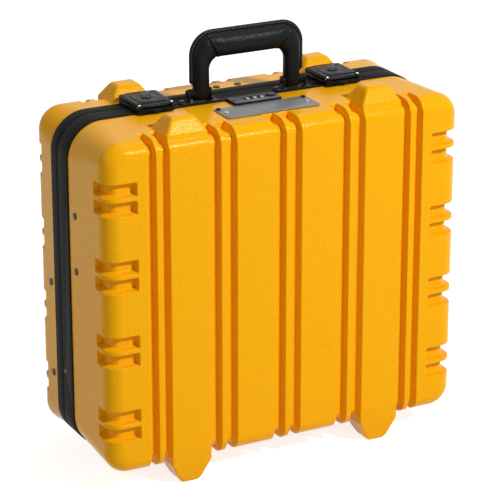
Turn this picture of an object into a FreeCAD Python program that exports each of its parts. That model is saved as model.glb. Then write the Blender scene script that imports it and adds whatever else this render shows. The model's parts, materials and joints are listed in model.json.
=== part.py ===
"""Hard tool case: two thermoformed shells in a two-part frame, with hinges, stays, latches and a handle.

Millimetres. +X to the right, +Y to the back, +Z up. The origin is on the floor under the middle of the case.
The front shell and base frame stay still. The back shell and lid frame are the lid, hinged at the bottom.
"""

import FreeCAD, Part
import math
import os

import Sketcher

SIZES = {
    "Case": {
        "shell_width": 460,
        "shell_height": 398,
        "front_depth": 97,
        "back_depth": 53,
        "corner_radius": 42,
        "face_corner_radius": 25,
        "edge_radius": 19,
        "wall": 3,
    },
    "Frame": {
        "frame_proud": 1.5,
        "frame_thickness": 8.5,
        "base_frame_depth": 27,
        "lid_frame_depth": 19,
        "base_rim_insert": 9,
        "lid_rim_insert": 7,
        "seat_clearance": 0.1,
        "parting_gap": 0.5,
        "frame_chamfer": 0.8,
        "tongue_length": 4,
        "tongue_thickness": 2,
        "tongue_inset": 4,
        "tongue_clearance": 0.5,
        "tongue_end_height": 60,
    },
    "Channels": {
        "groove_depth": 8.5,
        "groove_edge_radius": 10.5,
        "inner_pitch": 83,
        "outer_pitch": 80.5,
        "inner_channel_width": 32,
        "outer_channel_width": 25,
        "rib_width": 8,
        "front_groove_wrap": 33,
        "back_groove_wrap": 22,
    },
    "Pockets": {
        "pocket_pitch": 90.4,
        "pocket_height": 14.2,
        "pocket_rib": 7,
        "pocket_face_reach": 39,
        "front_pocket_reach": 30,
        "back_pocket_reach": 20,
    },
    "Feet": {
        "foot_height": 25,
        "foot_base_width": 50,
        "foot_tip_width": 24,
        "foot_base_depth": 44,
        "foot_tip_depth": 26,
        "foot_setback": 0.8,
        "foot_tip_setback": 5,
        "foot_root": 16,
        "bumper_height": 17.5,
        "bumper_base_width": 51,
        "bumper_tip_width": 27,
        "bumper_base_depth": 42,
        "bumper_tip_depth": 20,
        "bumper_setback": 6,
        "bumper_tip_setback": 17,
        "bumper_root": 9,
    },
    "Rivets": {
        "rivet_radius": 2,
        "rivet_head_radius": 4,
        "rivet_head": 1.2,
        "rivet_tail_radius": 3.2,
        "rivet_tail": 1,
        "small_rivet_radius": 1.8,
        "small_head_radius": 2.8,
        "small_head": 1.2,
        "fastener_clearance": 0.05,
        "frame_joint_height": 94,
        "frame_joint_inset": 7,
    },
    "Hinges": {
        "hinge_spacing": 250,
        "hinge_length": 65,
        "hinge_leaf_width": 14,
        "hinge_leaf": 1.5,
        "knuckle_radius": 4,
        "knuckle_drop": 0.3,
        "knuckle_clearance": 0.3,
        "hinge_pin_radius": 1.6,
        "running_clearance": 0.05,
        "hinge_rivet_offset": 7.5,
        "hinge_rivet_spacing": 40,
    },
    "Handle": {
        "handle_setback": 7,
        "leg_spacing": 123,
        "leg_width": 24.5,
        "leg_depth": 18,
        "grip_rise": 57,
        "grip_bend_radius": 26,
        "grip_height": 33,
        "grip_depth": 26,
        "grip_length": 64,
        "grip_swell": 14,
        "section_flat": 0.2,
        "core_width": 10,
        "core_depth": 4,
        "eye_radius": 5.5,
        "handle_clearance": 0.5,
        "handle_pin_radius": 2,
        "handle_pin_head_radius": 3.4,
        "handle_pin_head": 1,
        "bracket_plate": 1.5,
        "bracket_wing": 7.75,
        "bracket_edge": 0.5,
        "ear_thickness": 2.5,
        "ear_clearance": 0.5,
        "ear_radius": 5.5,
        "bracket_rivet_offset": 3.75,
        "bracket_rivet_margin": 3,
        "bracket_rivet_edge": 3.5,
    },
    "Latches": {
        "latch_bracket_gap": 15,
        "latch_width": 45,
        "latch_front_overhang": 8,
        "latch_back_overhang": 0.5,
        "latch_arch": 3,
        "latch_base_height": 4.5,
        "latch_gap": 0.6,
        "lever_thickness": 4.5,
        "lever_panel_rise": 1,
        "lever_panel_width": 31,
        "lever_panel_length": 33,
        "latch_pin_radius": 1,
        "latch_pin_setback": 4,
        "latch_lug_width": 4.5,
        "latch_lug_length": 8,
        "latch_lug_clearance": 0.5,
        "latch_tab_width": 8,
        "latch_tab_length": 2,
        "latch_tab_height": 3,
        "hook_width": 12,
        "hook_length": 4,
        "hook_drop": 2,
        "hook_setback": 10,
        "hook_clearance": 0.4,
        "latch_rivet_spacing": 28,
        "latch_rivet_offset": 8,
        "key_radius": 4.5,
        "key_rise": 0.6,
        "key_setback": 15,
        "key_slot_width": 1.2,
        "key_slot_length": 5.5,
        "key_slot_depth": 2.5,
    },
    "Lock": {
        "lock_end": 1,
        "lock_plate": 3.5,
        "lock_seat_gap": 0.4,
        "lock_box_wall": 3.5,
        "lock_box_side": 1.1,
        "lock_floor": 0.6,
        "lock_box_inset": 2.3,
        "dial_radius": 8,
        "dial_width": 6.6,
        "dial_pitch": 9.3,
        "dial_rise": 1,
        "dial_clearance": 0.4,
        "axle_radius": 1.5,
        "slide_width": 7,
        "slide_length": 9,
        "slide_height": 1.6,
        "slide_inset": 1,
        "slide_travel": 4.5,
        "stem_width": 3,
        "stem_depth": 2,
        "catch_width": 10,
        "catch_thickness": 2.5,
        "catch_rise": 2,
        "catch_entry": 5,
        "catch_slot_clearance": 2,
        "catch_plate_width": 44,
        "catch_plate_length": 16,
        "catch_plate": 2,
        "catch_rivet_spacing": 28,
        "catch_rivet_offset": 10,
    },
    "Nameplate": {
        "plate_width": 119,
        "plate_length": 39,
        "plate_thickness": 0.9,
        "plate_corner_radius": 3,
        "plate_rivet_inset": 7.5,
        "plate_rivet_length": 4,
        "stud_radius": 2.6,
        "stud_height": 1.8,
        "stud_edge": 4.5,
        "stud_inset": 5,
    },
    "Stays": {
        "stay_plate": 2,
        "stay_plate_width": 16,
        "stay_link": 2,
        "stay_link_width": 14,
        "stay_gap": 0.4,
        "stay_frame_gap": 2,
        "stay_pin_radius": 2.5,
        "stay_boss_radius": 6,
        "stay_pin_head_radius": 4.5,
        "stay_pin_head": 1,
        "open_pivot_clearance": 0.3,
        "base_rivet_offset": 15,
        "lid_rivet_offset": 13,
    },
    "Cuts": {
        "overrun": 4,
    },
}

LEFT, RIGHT = -1, 1
SIDES = {"left": LEFT, "right": RIGHT}
POCKET_ROWS_SHARES = (-1.5, -0.5, 0.5, 1.5)
BASE_RIVETS_SHARES = (0.573, 0.741)
BASE_PIVOT_SHARE = 0.6105
LID_RIVETS_SHARES = (0.1935, 0.48)
LID_PIVOT_SHARE = 0.274
KNUCKLES = 5
DIALS = 3
DIAL_FACES = 10
HALF_SHARE = 0.5


class Size:
    """A length that keeps its value and the sheet formula it came from."""

    def __init__(self, value, formula):
        self.value = value
        self.formula = formula

    def join(self, sign, other, value):
        return Size(value, f"({self.formula} {sign} {as_size(other).formula})")

    def __add__(self, other):
        return self.join("+", other, self.value + as_size(other).value)

    def __sub__(self, other):
        return self.join("-", other, self.value - as_size(other).value)

    def __mul__(self, other):
        return self.join("*", other, self.value * as_size(other).value)

    def __truediv__(self, other):
        return self.join("/", other, self.value / as_size(other).value)

    def __neg__(self):
        return self * -1

    __rmul__ = __mul__


def as_size(thing):
    """Turn a plain count or ratio into a Size, and leave a Size alone."""
    return thing if isinstance(thing, Size) else Size(thing, f"({thing})")


def diagonal(first, second):
    """The length across two lengths at right angles."""
    length = math.hypot(first.value, second.value)
    return Size(length, f"sqrt({(first * first + second * second).formula})")


ZERO = Size(0, "0")

doc = FreeCAD.newDocument("tool_case")


class Sheet:
    """The driving dimensions: one spreadsheet row each, read back as Sizes."""

    def __init__(self):
        page = doc.addObject("Spreadsheet::Sheet", "Dims")
        row = 0
        for group, sizes in SIZES.items():
            for name, value in sizes.items():
                row += 1
                page.set(f"A{row}", f"{group}: {name}")
                page.set(f"B{row}", str(value))
                page.setAlias(f"B{row}", name)
                setattr(self, name, Size(value, f"Dims.{name}"))
        doc.recompute()


d = Sheet()

# Derived places that several pieces share.
case_depth = d.front_depth + d.base_frame_depth + d.lid_frame_depth + d.back_depth
front_y = -(case_depth / 2)
back_y = case_depth / 2
base_frame_y = front_y + d.front_depth
parting_y = base_frame_y + d.base_frame_depth
lid_frame_y = parting_y + d.lid_frame_depth
shell_low = d.foot_height
shell_top = shell_low + d.shell_height
shell_mid = shell_low + d.shell_height / 2
frame_low = shell_low - d.frame_proud
frame_top = shell_top + d.frame_proud
frame_width = d.shell_width + 2 * d.frame_proud
frame_height = d.shell_height + 2 * d.frame_proud
frame_radius = d.corner_radius + d.frame_proud
frame_inner_x = frame_width / 2 - d.frame_thickness
shell_inner_x = d.shell_width / 2 - d.wall
outer_channel_x = d.inner_pitch + d.outer_pitch
panel_low_x = d.inner_pitch + d.inner_channel_width / 2
panel_high_x = outer_channel_x - d.outer_channel_width / 2
nub_x = (panel_low_x + panel_high_x) / 2
hinge_z = frame_low - d.knuckle_radius - d.knuckle_drop
handle_y = base_frame_y + d.handle_setback
pivot_z = frame_top + d.bracket_plate + d.leg_depth / 2 + d.handle_clearance
leg_x = d.leg_spacing / 2
ear_gap = d.leg_width + 2 * d.ear_clearance
bracket_half = ear_gap / 2 + d.ear_thickness + d.bracket_wing
latch_x = leg_x + bracket_half + d.latch_bracket_gap + d.latch_width / 2

nodes = []


def bind(thing, path, size):
    """Tie one property of a document object to the sheet."""
    thing.setExpression(path, size.formula)


def node(thing, label):
    """Name a finished piece; its label is its file's name."""
    thing.Label = label
    nodes.append(thing)
    return thing


def place(thing, x, y, z):
    for path, size in zip(("x", "y", "z"), (x, y, z)):
        bind(thing, f"Placement.Base.{path}", size)
    return thing


def box(name, low, high):
    """A Part::Box between two corners given as Sizes."""
    block = doc.addObject("Part::Box", name)
    for path, start, end in zip(("Length", "Width", "Height"), low, high):
        bind(block, path, end - start)
    return place(block, *low)


AXES = {
    "+x": FreeCAD.Vector(1, 0, 0),
    "-x": FreeCAD.Vector(-1, 0, 0),
    "+y": FreeCAD.Vector(0, 1, 0),
    "-y": FreeCAD.Vector(0, -1, 0),
    "+z": FreeCAD.Vector(0, 0, 1),
    "-z": FreeCAD.Vector(0, 0, -1),
}


def towards(side):
    """The axis that points out of the case on the left or right side."""
    return "+x" if side > 0 else "-x"


def moved(point, axis, amount):
    """A point shifted along one of the named axes."""
    step = AXES[axis]
    return tuple(start + amount * share for start, share in zip(point, (step.x, step.y, step.z)))


OPPOSITE = {"+x": "-x", "-x": "+x", "+y": "-y", "-y": "+y", "+z": "-z", "-z": "+z"}


def cylinder(name, radius, start, axis, length):
    """A Part::Cylinder from a start point along a named axis."""
    rod = doc.addObject("Part::Cylinder", name)
    bind(rod, "Radius", radius)
    bind(rod, "Height", length)
    rod.Placement = FreeCAD.Placement(FreeCAD.Vector(), FreeCAD.Rotation(AXES["+z"], AXES[axis]))
    return place(rod, *start)


def fuse(name, pieces):
    whole = doc.addObject("Part::MultiFuse", name)
    whole.Shapes = pieces
    return whole


def group(name, pieces):
    """Separate solids kept together, such as a set of rivets or of cutters."""
    whole = doc.addObject("Part::Compound", name)
    whole.Links = pieces
    return whole


def cut(name, base, tools):
    result = doc.addObject("Part::Cut", name)
    result.Base = base
    result.Tool = tools[0] if len(tools) == 1 else group(f"{name}_tools", tools)
    return result


def new_body(name):
    return doc.addObject("PartDesign::Body", name)


def new_sketch(body, role, offset):
    """A sketch on one of the body's own origin planes, moved along the plane's normal."""
    sketch = body.newObject("Sketcher::SketchObject", f"{body.Name}_sketch")
    plane = next(item for item in body.Origin.OriginFeatures if item.Role == role)
    sketch.AttachmentSupport = [(plane, "")]
    sketch.MapMode = "FlatFace"
    bind(sketch, "AttachmentOffset.Base.z", offset)
    return sketch


def limit(sketch, kind, where, size):
    """One dimension of a sketch, tied to the sheet."""
    index = sketch.addConstraint(Sketcher.Constraint(kind, *where, size.value))
    bind(sketch, f"Constraints[{index}]", size)


def pin_point(sketch, edge, end, point):
    limit(sketch, "DistanceX", (-1, 1, edge, end), point[0])
    limit(sketch, "DistanceY", (-1, 1, edge, end), point[1])


def vector(point):
    return FreeCAD.Vector(point[0].value, point[1].value, 0)


def add_line(sketch, start, end):
    edge = sketch.addGeometry(Part.LineSegment(vector(start), vector(end)))
    pin_point(sketch, edge, 1, start)
    pin_point(sketch, edge, 2, end)
    return edge


def add_arc(sketch, before, after, centre, radius):
    """An arc from the end of one edge to the start of another, turning anticlockwise about its centre."""
    first, last = sketch.Geometry[before].EndPoint, sketch.Geometry[after].StartPoint
    hub = vector(centre)
    start, end = (math.atan2(point.y - hub.y, point.x - hub.x) for point in (first, last))
    circle = Part.Circle(hub, AXES["+z"], radius.value)
    edge = sketch.addGeometry(Part.ArcOfCircle(circle, start, end))
    sketch.addConstraint(Sketcher.Constraint("Coincident", edge, 1, before, 2))
    sketch.addConstraint(Sketcher.Constraint("Coincident", edge, 2, after, 1))
    limit(sketch, "Radius", (edge,), radius)


def polygon(sketch, points):
    """Straight edges round a closed outline, anticlockwise."""
    ends = points[1:] + points[:1]
    edges = [sketch.addGeometry(Part.LineSegment(vector(a), vector(b))) for a, b in zip(points, ends)]
    for index, edge in enumerate(edges):
        sketch.addConstraint(Sketcher.Constraint("Coincident", edge, 2, edges[(index + 1) % len(edges)], 1))
        pin_point(sketch, edge, 1, points[index])


def rounded_rectangle(sketch, width, height, radius, centre):
    """A rectangle with four quarter-round corners, anticlockwise from its lower edge."""
    cx, cy = centre
    half_w, half_h = width / 2, height / 2
    in_w, in_h = half_w - radius, half_h - radius
    lower = add_line(sketch, (cx - in_w, cy - half_h), (cx + in_w, cy - half_h))
    right = add_line(sketch, (cx + half_w, cy - in_h), (cx + half_w, cy + in_h))
    upper = add_line(sketch, (cx + in_w, cy + half_h), (cx - in_w, cy + half_h))
    left = add_line(sketch, (cx - half_w, cy + in_h), (cx - half_w, cy - in_h))
    add_arc(sketch, lower, right, (cx + in_w, cy - in_h), radius)
    add_arc(sketch, right, upper, (cx + in_w, cy + in_h), radius)
    add_arc(sketch, upper, left, (cx - in_w, cy + in_h), radius)
    add_arc(sketch, left, lower, (cx - in_w, cy - in_h), radius)


def pad(body, sketch, length, reverse=False):
    feature = body.newObject("PartDesign::Pad", f"{body.Name}_pad")
    feature.Profile = sketch
    feature.Reversed = reverse
    bind(feature, "Length", length)
    return feature


def pocket(body, sketch, length, reverse=False):
    feature = body.newObject("PartDesign::Pocket", f"{body.Name}_pocket")
    feature.Profile = sketch
    feature.Reversed = reverse
    bind(feature, "Length", length)
    return feature


def edges_where(feature, wanted):
    """The names of a feature's edges whose every vertex and middle passes a test."""
    names = []
    for number, edge in enumerate(feature.Shape.Edges, 1):
        middle = edge.valueAt((edge.FirstParameter + edge.LastParameter) * HALF_SHARE)
        if wanted(middle) and all(wanted(vertex.Point) for vertex in edge.Vertexes):
            names.append(f"Edge{number}")
    return names


def dress(body, kind, feature, names, prop, size):
    """A PartDesign fillet or chamfer on named edges."""
    dressing = body.newObject(f"PartDesign::{kind}", f"{body.Name}_{kind.lower()}")
    dressing.Base = (feature, names)
    bind(dressing, prop, size)
    return dressing


def near(first, second):
    return math.isclose(first, second, abs_tol=1e-4)


# The shells.

class Shell:
    """Where one shell's face and rim lie, and which way it opens."""

    def __init__(self, name, outward, face_y, frame_y, rim_insert, groove_wrap, pocket_reach):
        self.name = name
        self.face_y = face_y
        self.frame_y = frame_y
        self.rim_y = frame_y - rim_insert * outward
        self.groove_wrap = groove_wrap
        self.pocket_reach = pocket_reach
        self.outward = outward

    def behind(self, distance):
        """The Y of a plane so far behind the face, towards the rim."""
        return self.face_y - distance * self.outward

    def span(self, near_face, near_rim):
        """Low and high Y of a slab between two distances behind the face."""
        ends = (self.behind(near_face), self.behind(near_rim))
        return ends if self.outward < 0 else ends[::-1]


def shell_outline(body, y, radius, inset):
    """The shell's outline in a plane of Y, set in from the outer skin."""
    sketch = new_sketch(body, "XZ_Plane", -y)
    width = d.shell_width - 2 * inset
    height = d.shell_height - 2 * inset
    rounded_rectangle(sketch, width, height, radius - inset, (ZERO, shell_mid))
    return sketch


def round_off(name, base, radii):
    """A Part::Fillet; radii gives an edge's start and end radius, or nothing for an edge that stays sharp."""
    doc.recompute()
    fillet = doc.addObject("Part::Fillet", name)
    fillet.Base = base
    rounds = ((number, radii(edge)) for number, edge in enumerate(base.Shape.Edges, 1))
    fillet.Edges = [(number, *pair) for number, pair in rounds if pair]
    return fillet


def shell_rim(shell, name, inset, rim_extra):
    """The straight rim that the frame holds."""
    body = new_body(name)
    rim_y = shell.rim_y - rim_extra * shell.outward
    outline = shell_outline(body, rim_y, d.corner_radius, inset)
    pad(body, outline, (shell.frame_y - rim_y) * shell.outward, reverse=shell.outward > 0)
    return body


def shell_block(shell, name, inset, edge):
    """A block from the frame to the face; its corners sharpen towards the face, whose edge is rounded."""
    face_y = shell.behind(inset)
    low_y, high_y = (face_y, shell.frame_y) if shell.outward < 0 else (shell.frame_y, face_y)
    half_width = d.shell_width / 2 - inset
    low = (-half_width, low_y, shell_low + inset)
    high = (half_width, high_y, shell_top - inset)

    def on_face(point):
        return near(point.y, face_y.value)

    def corner_radius_at(point):
        return (d.face_corner_radius if on_face(point) else d.corner_radius) - inset

    def corner_radii(line):
        ends = [line.valueAt(spot) for spot in (line.FirstParameter, line.LastParameter)]
        if on_face(ends[0]) == on_face(ends[1]):
            return None
        return [corner_radius_at(point).value for point in ends]

    def face_radii(line):
        if not all(on_face(vertex.Point) for vertex in line.Vertexes):
            return None
        return [edge.value, edge.value]

    corners = round_off(f"{name}_corners", box(f"{name}_box", low, high), corner_radii)
    return round_off(name, corners, face_radii)


def shell_form(shell, tag, inset, edge, rim_extra):
    """The whole outside of a shell, or a form set in from it."""
    name = f"{shell.name}_{tag}"
    rim = shell_rim(shell, f"{name}_rim", inset, rim_extra)
    return fuse(name, [rim, shell_block(shell, f"{name}_block", inset, edge)])


def channels():
    """Centre and width of each channel across the face."""
    return [
        (-outer_channel_x, d.outer_channel_width),
        (-d.inner_pitch, d.inner_channel_width),
        (ZERO, d.inner_channel_width),
        (d.inner_pitch, d.inner_channel_width),
        (outer_channel_x, d.outer_channel_width),
    ]


def groove_slabs(shell):
    """Slabs beside each channel's rib; they bite into the skin down to the groove's floor."""
    low_y, high_y = shell.span(-d.overrun, shell.groove_wrap)
    slabs = []
    for number, (centre, width) in enumerate(channels()):
        for side in SIDES.values():
            ends = (centre + side * d.rib_width / 2, centre + side * width / 2)
            low_x, high_x = ends if side > 0 else ends[::-1]
            low = (low_x, low_y, shell_low - d.overrun)
            high = (high_x, high_y, shell_top + d.overrun)
            slabs.append(box(f"{shell.name}_groove_{number}", low, high))
    return slabs


def channel_slabs(shell):
    """Slabs that hold the inner skin a wall away from each channel."""
    low_y, high_y = shell.span(-d.overrun, shell.groove_wrap + d.wall)
    slabs = []
    for number, (centre, width) in enumerate(channels()):
        half = width / 2 + d.wall
        low = (centre - half, low_y, shell_low - d.overrun)
        high = (centre + half, high_y, shell_top + d.overrun)
        slabs.append(box(f"{shell.name}_channel_{number}", low, high))
    return slabs


def corner_block(shell, name, side, margin, low_z, high_z):
    """A block over one upright edge of the case, as far as the pockets reach and a margin more."""
    low_y, high_y = shell.span(-d.overrun, shell.pocket_reach + margin)
    ends = (d.shell_width / 2 - d.pocket_face_reach - margin, d.shell_width / 2 + d.overrun)
    low_x, high_x = ends if side > 0 else (-ends[1], -ends[0])
    return box(name, (low_x, low_y, low_z), (high_x, high_y, high_z))


def pocket_blocks(shell):
    """Two small pockets in each row on each upright edge."""
    blocks = []
    for side in SIDES.values():
        for share in POCKET_ROWS_SHARES:
            row_z = shell_mid + d.pocket_pitch * share
            for up in (-1, 1):
                ends = (row_z + up * d.pocket_rib / 2, row_z + up * (d.pocket_rib / 2 + d.pocket_height))
                low_z, high_z = ends if up > 0 else ends[::-1]
                name = f"{shell.name}_pocket"
                blocks.append(corner_block(shell, name, side, ZERO, low_z, high_z))
    return blocks


def pocket_backs(shell):
    """Blocks that hold the inner skin a wall away from each row of pockets."""
    half = d.pocket_rib / 2 + d.pocket_height + d.wall
    blocks = []
    for side in SIDES.values():
        for share in POCKET_ROWS_SHARES:
            row_z = shell_mid + d.pocket_pitch * share
            name = f"{shell.name}_pocket_back"
            blocks.append(corner_block(shell, name, side, d.wall, row_z - half, row_z + half))
    return blocks


class NubForm:
    """The sizes of a tapered foot or bumper at its base and tip, its root, and which way it points."""

    def __init__(self, up, skin_z, height, root, widths, depths, setbacks):
        self.up = up
        self.skin_z = skin_z
        self.height = height
        self.root = root
        self.widths = widths
        self.depths = depths
        self.setbacks = setbacks


NUB_FORMS = (
    NubForm(
        -1,
        shell_low,
        d.foot_height,
        d.foot_root,
        (d.foot_base_width, d.foot_tip_width),
        (d.foot_base_depth, d.foot_tip_depth),
        (d.foot_setback, d.foot_tip_setback),
    ),
    NubForm(
        1,
        shell_top,
        d.bumper_height,
        d.bumper_root,
        (d.bumper_base_width, d.bumper_tip_width),
        (d.bumper_base_depth, d.bumper_tip_depth),
        (d.bumper_setback, d.bumper_tip_setback),
    ),
)


def nub(shell, side, form, inset):
    """A foot or bumper on the panel between the outer channels, or its hollow when set in."""
    wedge = doc.addObject("Part::Wedge", f"{shell.name}_nub")
    base_half, tip_half = (width / 2 - inset for width in form.widths)
    base, tip = (
        shell.span(setback + inset, setback + depth - inset)
        for setback, depth in zip(form.setbacks, form.depths)
    )
    if form.up > 0:
        base = (-base[1], -base[0])
        tip = (-tip[1], -tip[0])
    limits = {
        "Xmin": -base_half,
        "Xmax": base_half,
        "X2min": -tip_half,
        "X2max": tip_half,
        "Ymin": ZERO,
        "Ymax": form.height - inset,
        "Zmin": base[0],
        "Zmax": base[1],
        "Z2min": tip[0],
        "Z2max": tip[1],
    }
    for path, size in limits.items():
        bind(wedge, path, size)
    quarter = FreeCAD.Rotation(AXES["+y"], AXES["+z"] if form.up > 0 else AXES["-z"])
    wedge.Placement = FreeCAD.Placement(FreeCAD.Vector(), quarter)
    return place(wedge, nub_x * side, ZERO, form.skin_z)


def nub_root(shell, side, form, inset):
    """The block that carries a foot or bumper on into the panel, past the panel's rounded edge."""
    half = form.widths[0] / 2 - inset
    low_y, high_y = shell.span(form.setbacks[0] + inset, form.setbacks[0] + form.depths[0] - inset)
    ends = (form.skin_z, form.skin_z - form.up * form.root)
    low_z, high_z = ends if form.up < 0 else ends[::-1]
    low = (nub_x * side - half, low_y, low_z)
    high = (nub_x * side + half, high_y, high_z)
    return box(f"{shell.name}_nub_root", low, high)


def nubs(shell, inset):
    pieces = []
    for side in SIDES.values():
        for form in NUB_FORMS:
            pieces += [nub(shell, side, form, inset), nub_root(shell, side, form, inset)]
    return pieces


def build_shell(shell, openings):
    """Outer skin with channels, pockets, feet and bumpers, less the hollow that follows it a wall inside."""
    outer = shell_form(shell, "outer", ZERO, d.edge_radius, ZERO)
    floor = shell_form(shell, "floor", d.groove_depth, d.groove_edge_radius, ZERO)
    hollow = shell_form(shell, "hollow", d.wall, d.edge_radius - d.wall, d.overrun)
    inner_inset = d.groove_depth + d.wall
    inner_edge = d.groove_edge_radius - d.wall
    hollow_floor = shell_form(shell, "hollow_floor", inner_inset, inner_edge, d.overrun)
    cutters = group(f"{shell.name}_cutters", groove_slabs(shell) + pocket_blocks(shell))
    bites = cut(f"{shell.name}_bites", cutters, [floor])
    carved = cut(f"{shell.name}_carved", outer, [bites])
    skin = fuse(f"{shell.name}_skin", [carved] + nubs(shell, ZERO))
    backs = fuse(f"{shell.name}_backs", channel_slabs(shell) + pocket_backs(shell))
    inner_bites = cut(f"{shell.name}_inner_bites", backs, [hollow_floor])
    inner = cut(f"{shell.name}_inner", hollow, [inner_bites])
    room = fuse(f"{shell.name}_room", [inner] + nubs(shell, d.wall))
    return node(cut(shell.name, skin, [room] + openings), shell.name)


# Fasteners.

def rivet(name, surface, inward, grip, small=False):
    """Head on the outside, shank through the grip and a tail inside."""
    radius = d.small_rivet_radius if small else d.rivet_radius
    head_radius = d.small_head_radius if small else d.rivet_head_radius
    head = d.small_head if small else d.rivet_head
    parts = [
        cylinder(f"{name}_head", head_radius, surface, OPPOSITE[inward], head),
        cylinder(f"{name}_shank", radius, surface, inward, grip),
    ]
    if not small:
        end = moved(surface, inward, grip)
        parts.append(cylinder(f"{name}_tail", d.rivet_tail_radius, end, inward, d.rivet_tail))
    return fuse(name, parts)


def rivet_hole(name, surface, inward, grip, small=False):
    """The hole that a rivet of the same place passes through, open at both ends."""
    radius = (d.small_rivet_radius if small else d.rivet_radius) + d.fastener_clearance
    start = moved(surface, OPPOSITE[inward], d.overrun)
    return cylinder(name, radius, start, inward, grip + 2 * d.overrun)


def sunk_hole(name, surface, inward):
    """The seat of a small rivet's head, sunk below a surface."""
    radius = d.small_head_radius + d.fastener_clearance
    start = moved(surface, OPPOSITE[inward], d.overrun)
    return cylinder(name, radius, start, inward, d.overrun + d.small_head)


# The frames.

def frame_ring(body, y, length, outer_inset, inner_inset, make, reverse=False):
    """A ring that follows the frame's outline between two insets; make is pad or pocket."""
    sketch = new_sketch(body, "XZ_Plane", -y)
    for inset in (outer_inset, inner_inset):
        width = frame_width - 2 * inset
        height = frame_height - 2 * inset
        rounded_rectangle(sketch, width, height, frame_radius - inset, (ZERO, shell_mid))
    return make(body, sketch, length, reverse)


def chamfer_outside(body, feature, planes):
    """Break the ring's outer edges that lie in the given planes of Y."""
    doc.recompute()
    half_width, half_height = frame_width.value / 2, frame_height.value / 2
    keep_out = d.frame_thickness.value / 2
    radius = frame_radius.value

    def outside(point):
        if not any(near(point.y, plane.value) for plane in planes):
            return False
        x, z = abs(point.x), abs(point.z - shell_mid.value)
        past_x, past_z = x - (half_width - radius), z - (half_height - radius)
        if past_x > 0 and past_z > 0:
            return math.hypot(past_x, past_z) > radius - keep_out
        return x > half_width - keep_out or z > half_height - keep_out

    return dress(body, "Chamfer", feature, edges_where(feature, outside), "Size", d.frame_chamfer)


slot_outer = d.frame_proud - d.seat_clearance
slot_inner = d.frame_proud + d.wall + d.seat_clearance
tongue_outer = d.tongue_inset
tongue_inner = d.tongue_inset + d.tongue_thickness
base_face_y = parting_y - d.parting_gap / 2
lid_face_y = parting_y + d.parting_gap / 2


def clip_below(body, y, length):
    """Remove what a ring has below the tongue's end, because the hinge side has no tongue."""
    sketch = new_sketch(body, "XZ_Plane", -y)
    half = frame_width / 2
    low = frame_low - d.overrun
    high = frame_low + d.tongue_end_height
    polygon(sketch, [(-half, low), (half, low), (half, high), (-half, high)])
    return pocket(body, sketch, length)


def base_frame(holes):
    body = new_body("base_frame_body")
    ring = frame_ring(body, base_face_y, base_face_y - base_frame_y, ZERO, d.frame_thickness, pad)
    chamfer_outside(body, ring, (base_face_y, base_frame_y))
    slot_depth = d.base_rim_insert + d.seat_clearance
    frame_ring(body, base_frame_y, slot_depth, slot_outer, slot_inner, pocket, reverse=False)
    frame_ring(body, base_face_y, d.tongue_length, tongue_outer, tongue_inner, pad, reverse=True)
    clip_below(body, base_face_y, d.tongue_length + d.overrun)
    return node(cut("base_frame", body, holes), "base_frame")


def lid_frame(holes):
    body = new_body("lid_frame_body")
    ring = frame_ring(body, lid_face_y, lid_frame_y - lid_face_y, ZERO, d.frame_thickness, pad, reverse=True)
    chamfer_outside(body, ring, (lid_face_y, lid_frame_y))
    slot_depth = d.lid_rim_insert + d.seat_clearance
    frame_ring(body, lid_frame_y, slot_depth, slot_outer, slot_inner, pocket, reverse=True)
    groove_depth = d.tongue_length - d.parting_gap + d.tongue_clearance
    outer, inner = tongue_outer - d.tongue_clearance, tongue_inner + d.tongue_clearance
    frame_ring(body, lid_face_y, groove_depth, outer, inner, pocket)
    return node(cut("lid_frame", body, holes), "lid_frame")


# The hinges.

def knuckle_span(x, number):
    """Left and right X of one knuckle of the hinge centred at x."""
    step = d.hinge_length / KNUCKLES
    left = x - d.hinge_length / 2 + step * number
    return left + d.knuckle_clearance / 2, left + step - d.knuckle_clearance / 2


def hinge_leaf(label, x, outward, own):
    """A leaf under one frame with its share of the knuckles round the pin."""
    half = d.hinge_length / 2
    ends = (parting_y, parting_y + d.hinge_leaf_width * outward)
    low_y, high_y = ends if outward > 0 else ends[::-1]
    plate = box(f"{label}_plate", (x - half, low_y, frame_low - d.hinge_leaf), (x + half, high_y, frame_low))
    barrels, notches = [], []
    for number in range(KNUCKLES):
        left, right = knuckle_span(x, number)
        if number in own:
            start = (left, parting_y, hinge_z)
            barrels.append(cylinder(f"{label}_knuckle", d.knuckle_radius, start, "+x", right - left))
            continue
        reach = d.knuckle_radius + d.knuckle_clearance
        low = (left - d.knuckle_clearance, parting_y - reach, hinge_z - reach)
        high = (right + d.knuckle_clearance, parting_y + reach, frame_low + d.overrun)
        notches.append(box(f"{label}_notch", low, high))
    bore = d.hinge_pin_radius + d.running_clearance
    start = (x - half - d.overrun, parting_y, hinge_z)
    bore_cut = cylinder(f"{label}_bore", bore, start, "+x", d.hinge_length + 2 * d.overrun)
    spots = hinge_rivet_spots(x, outward)
    rivets = [rivet_hole(f"{label}_hole", spot, "+z", d.hinge_leaf, small=True) for spot in spots]
    whole = fuse(f"{label}_whole", [plate] + barrels)
    return node(cut(label, whole, notches + [bore_cut] + rivets), label)


def hinge_rivet_spots(x, outward):
    y = parting_y + d.hinge_rivet_offset * outward
    return [(x + side * d.hinge_rivet_spacing / 2, y, frame_low - d.hinge_leaf) for side in SIDES.values()]


def hinge_rivets(label, outward):
    grip = d.hinge_leaf + d.frame_thickness
    rivets = []
    for side in SIDES.values():
        for spot in hinge_rivet_spots(side * d.hinge_spacing / 2, outward):
            rivets.append(rivet(f"{label}_one", spot, "+z", grip, small=True))
    return node(group(label, rivets), label)


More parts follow.
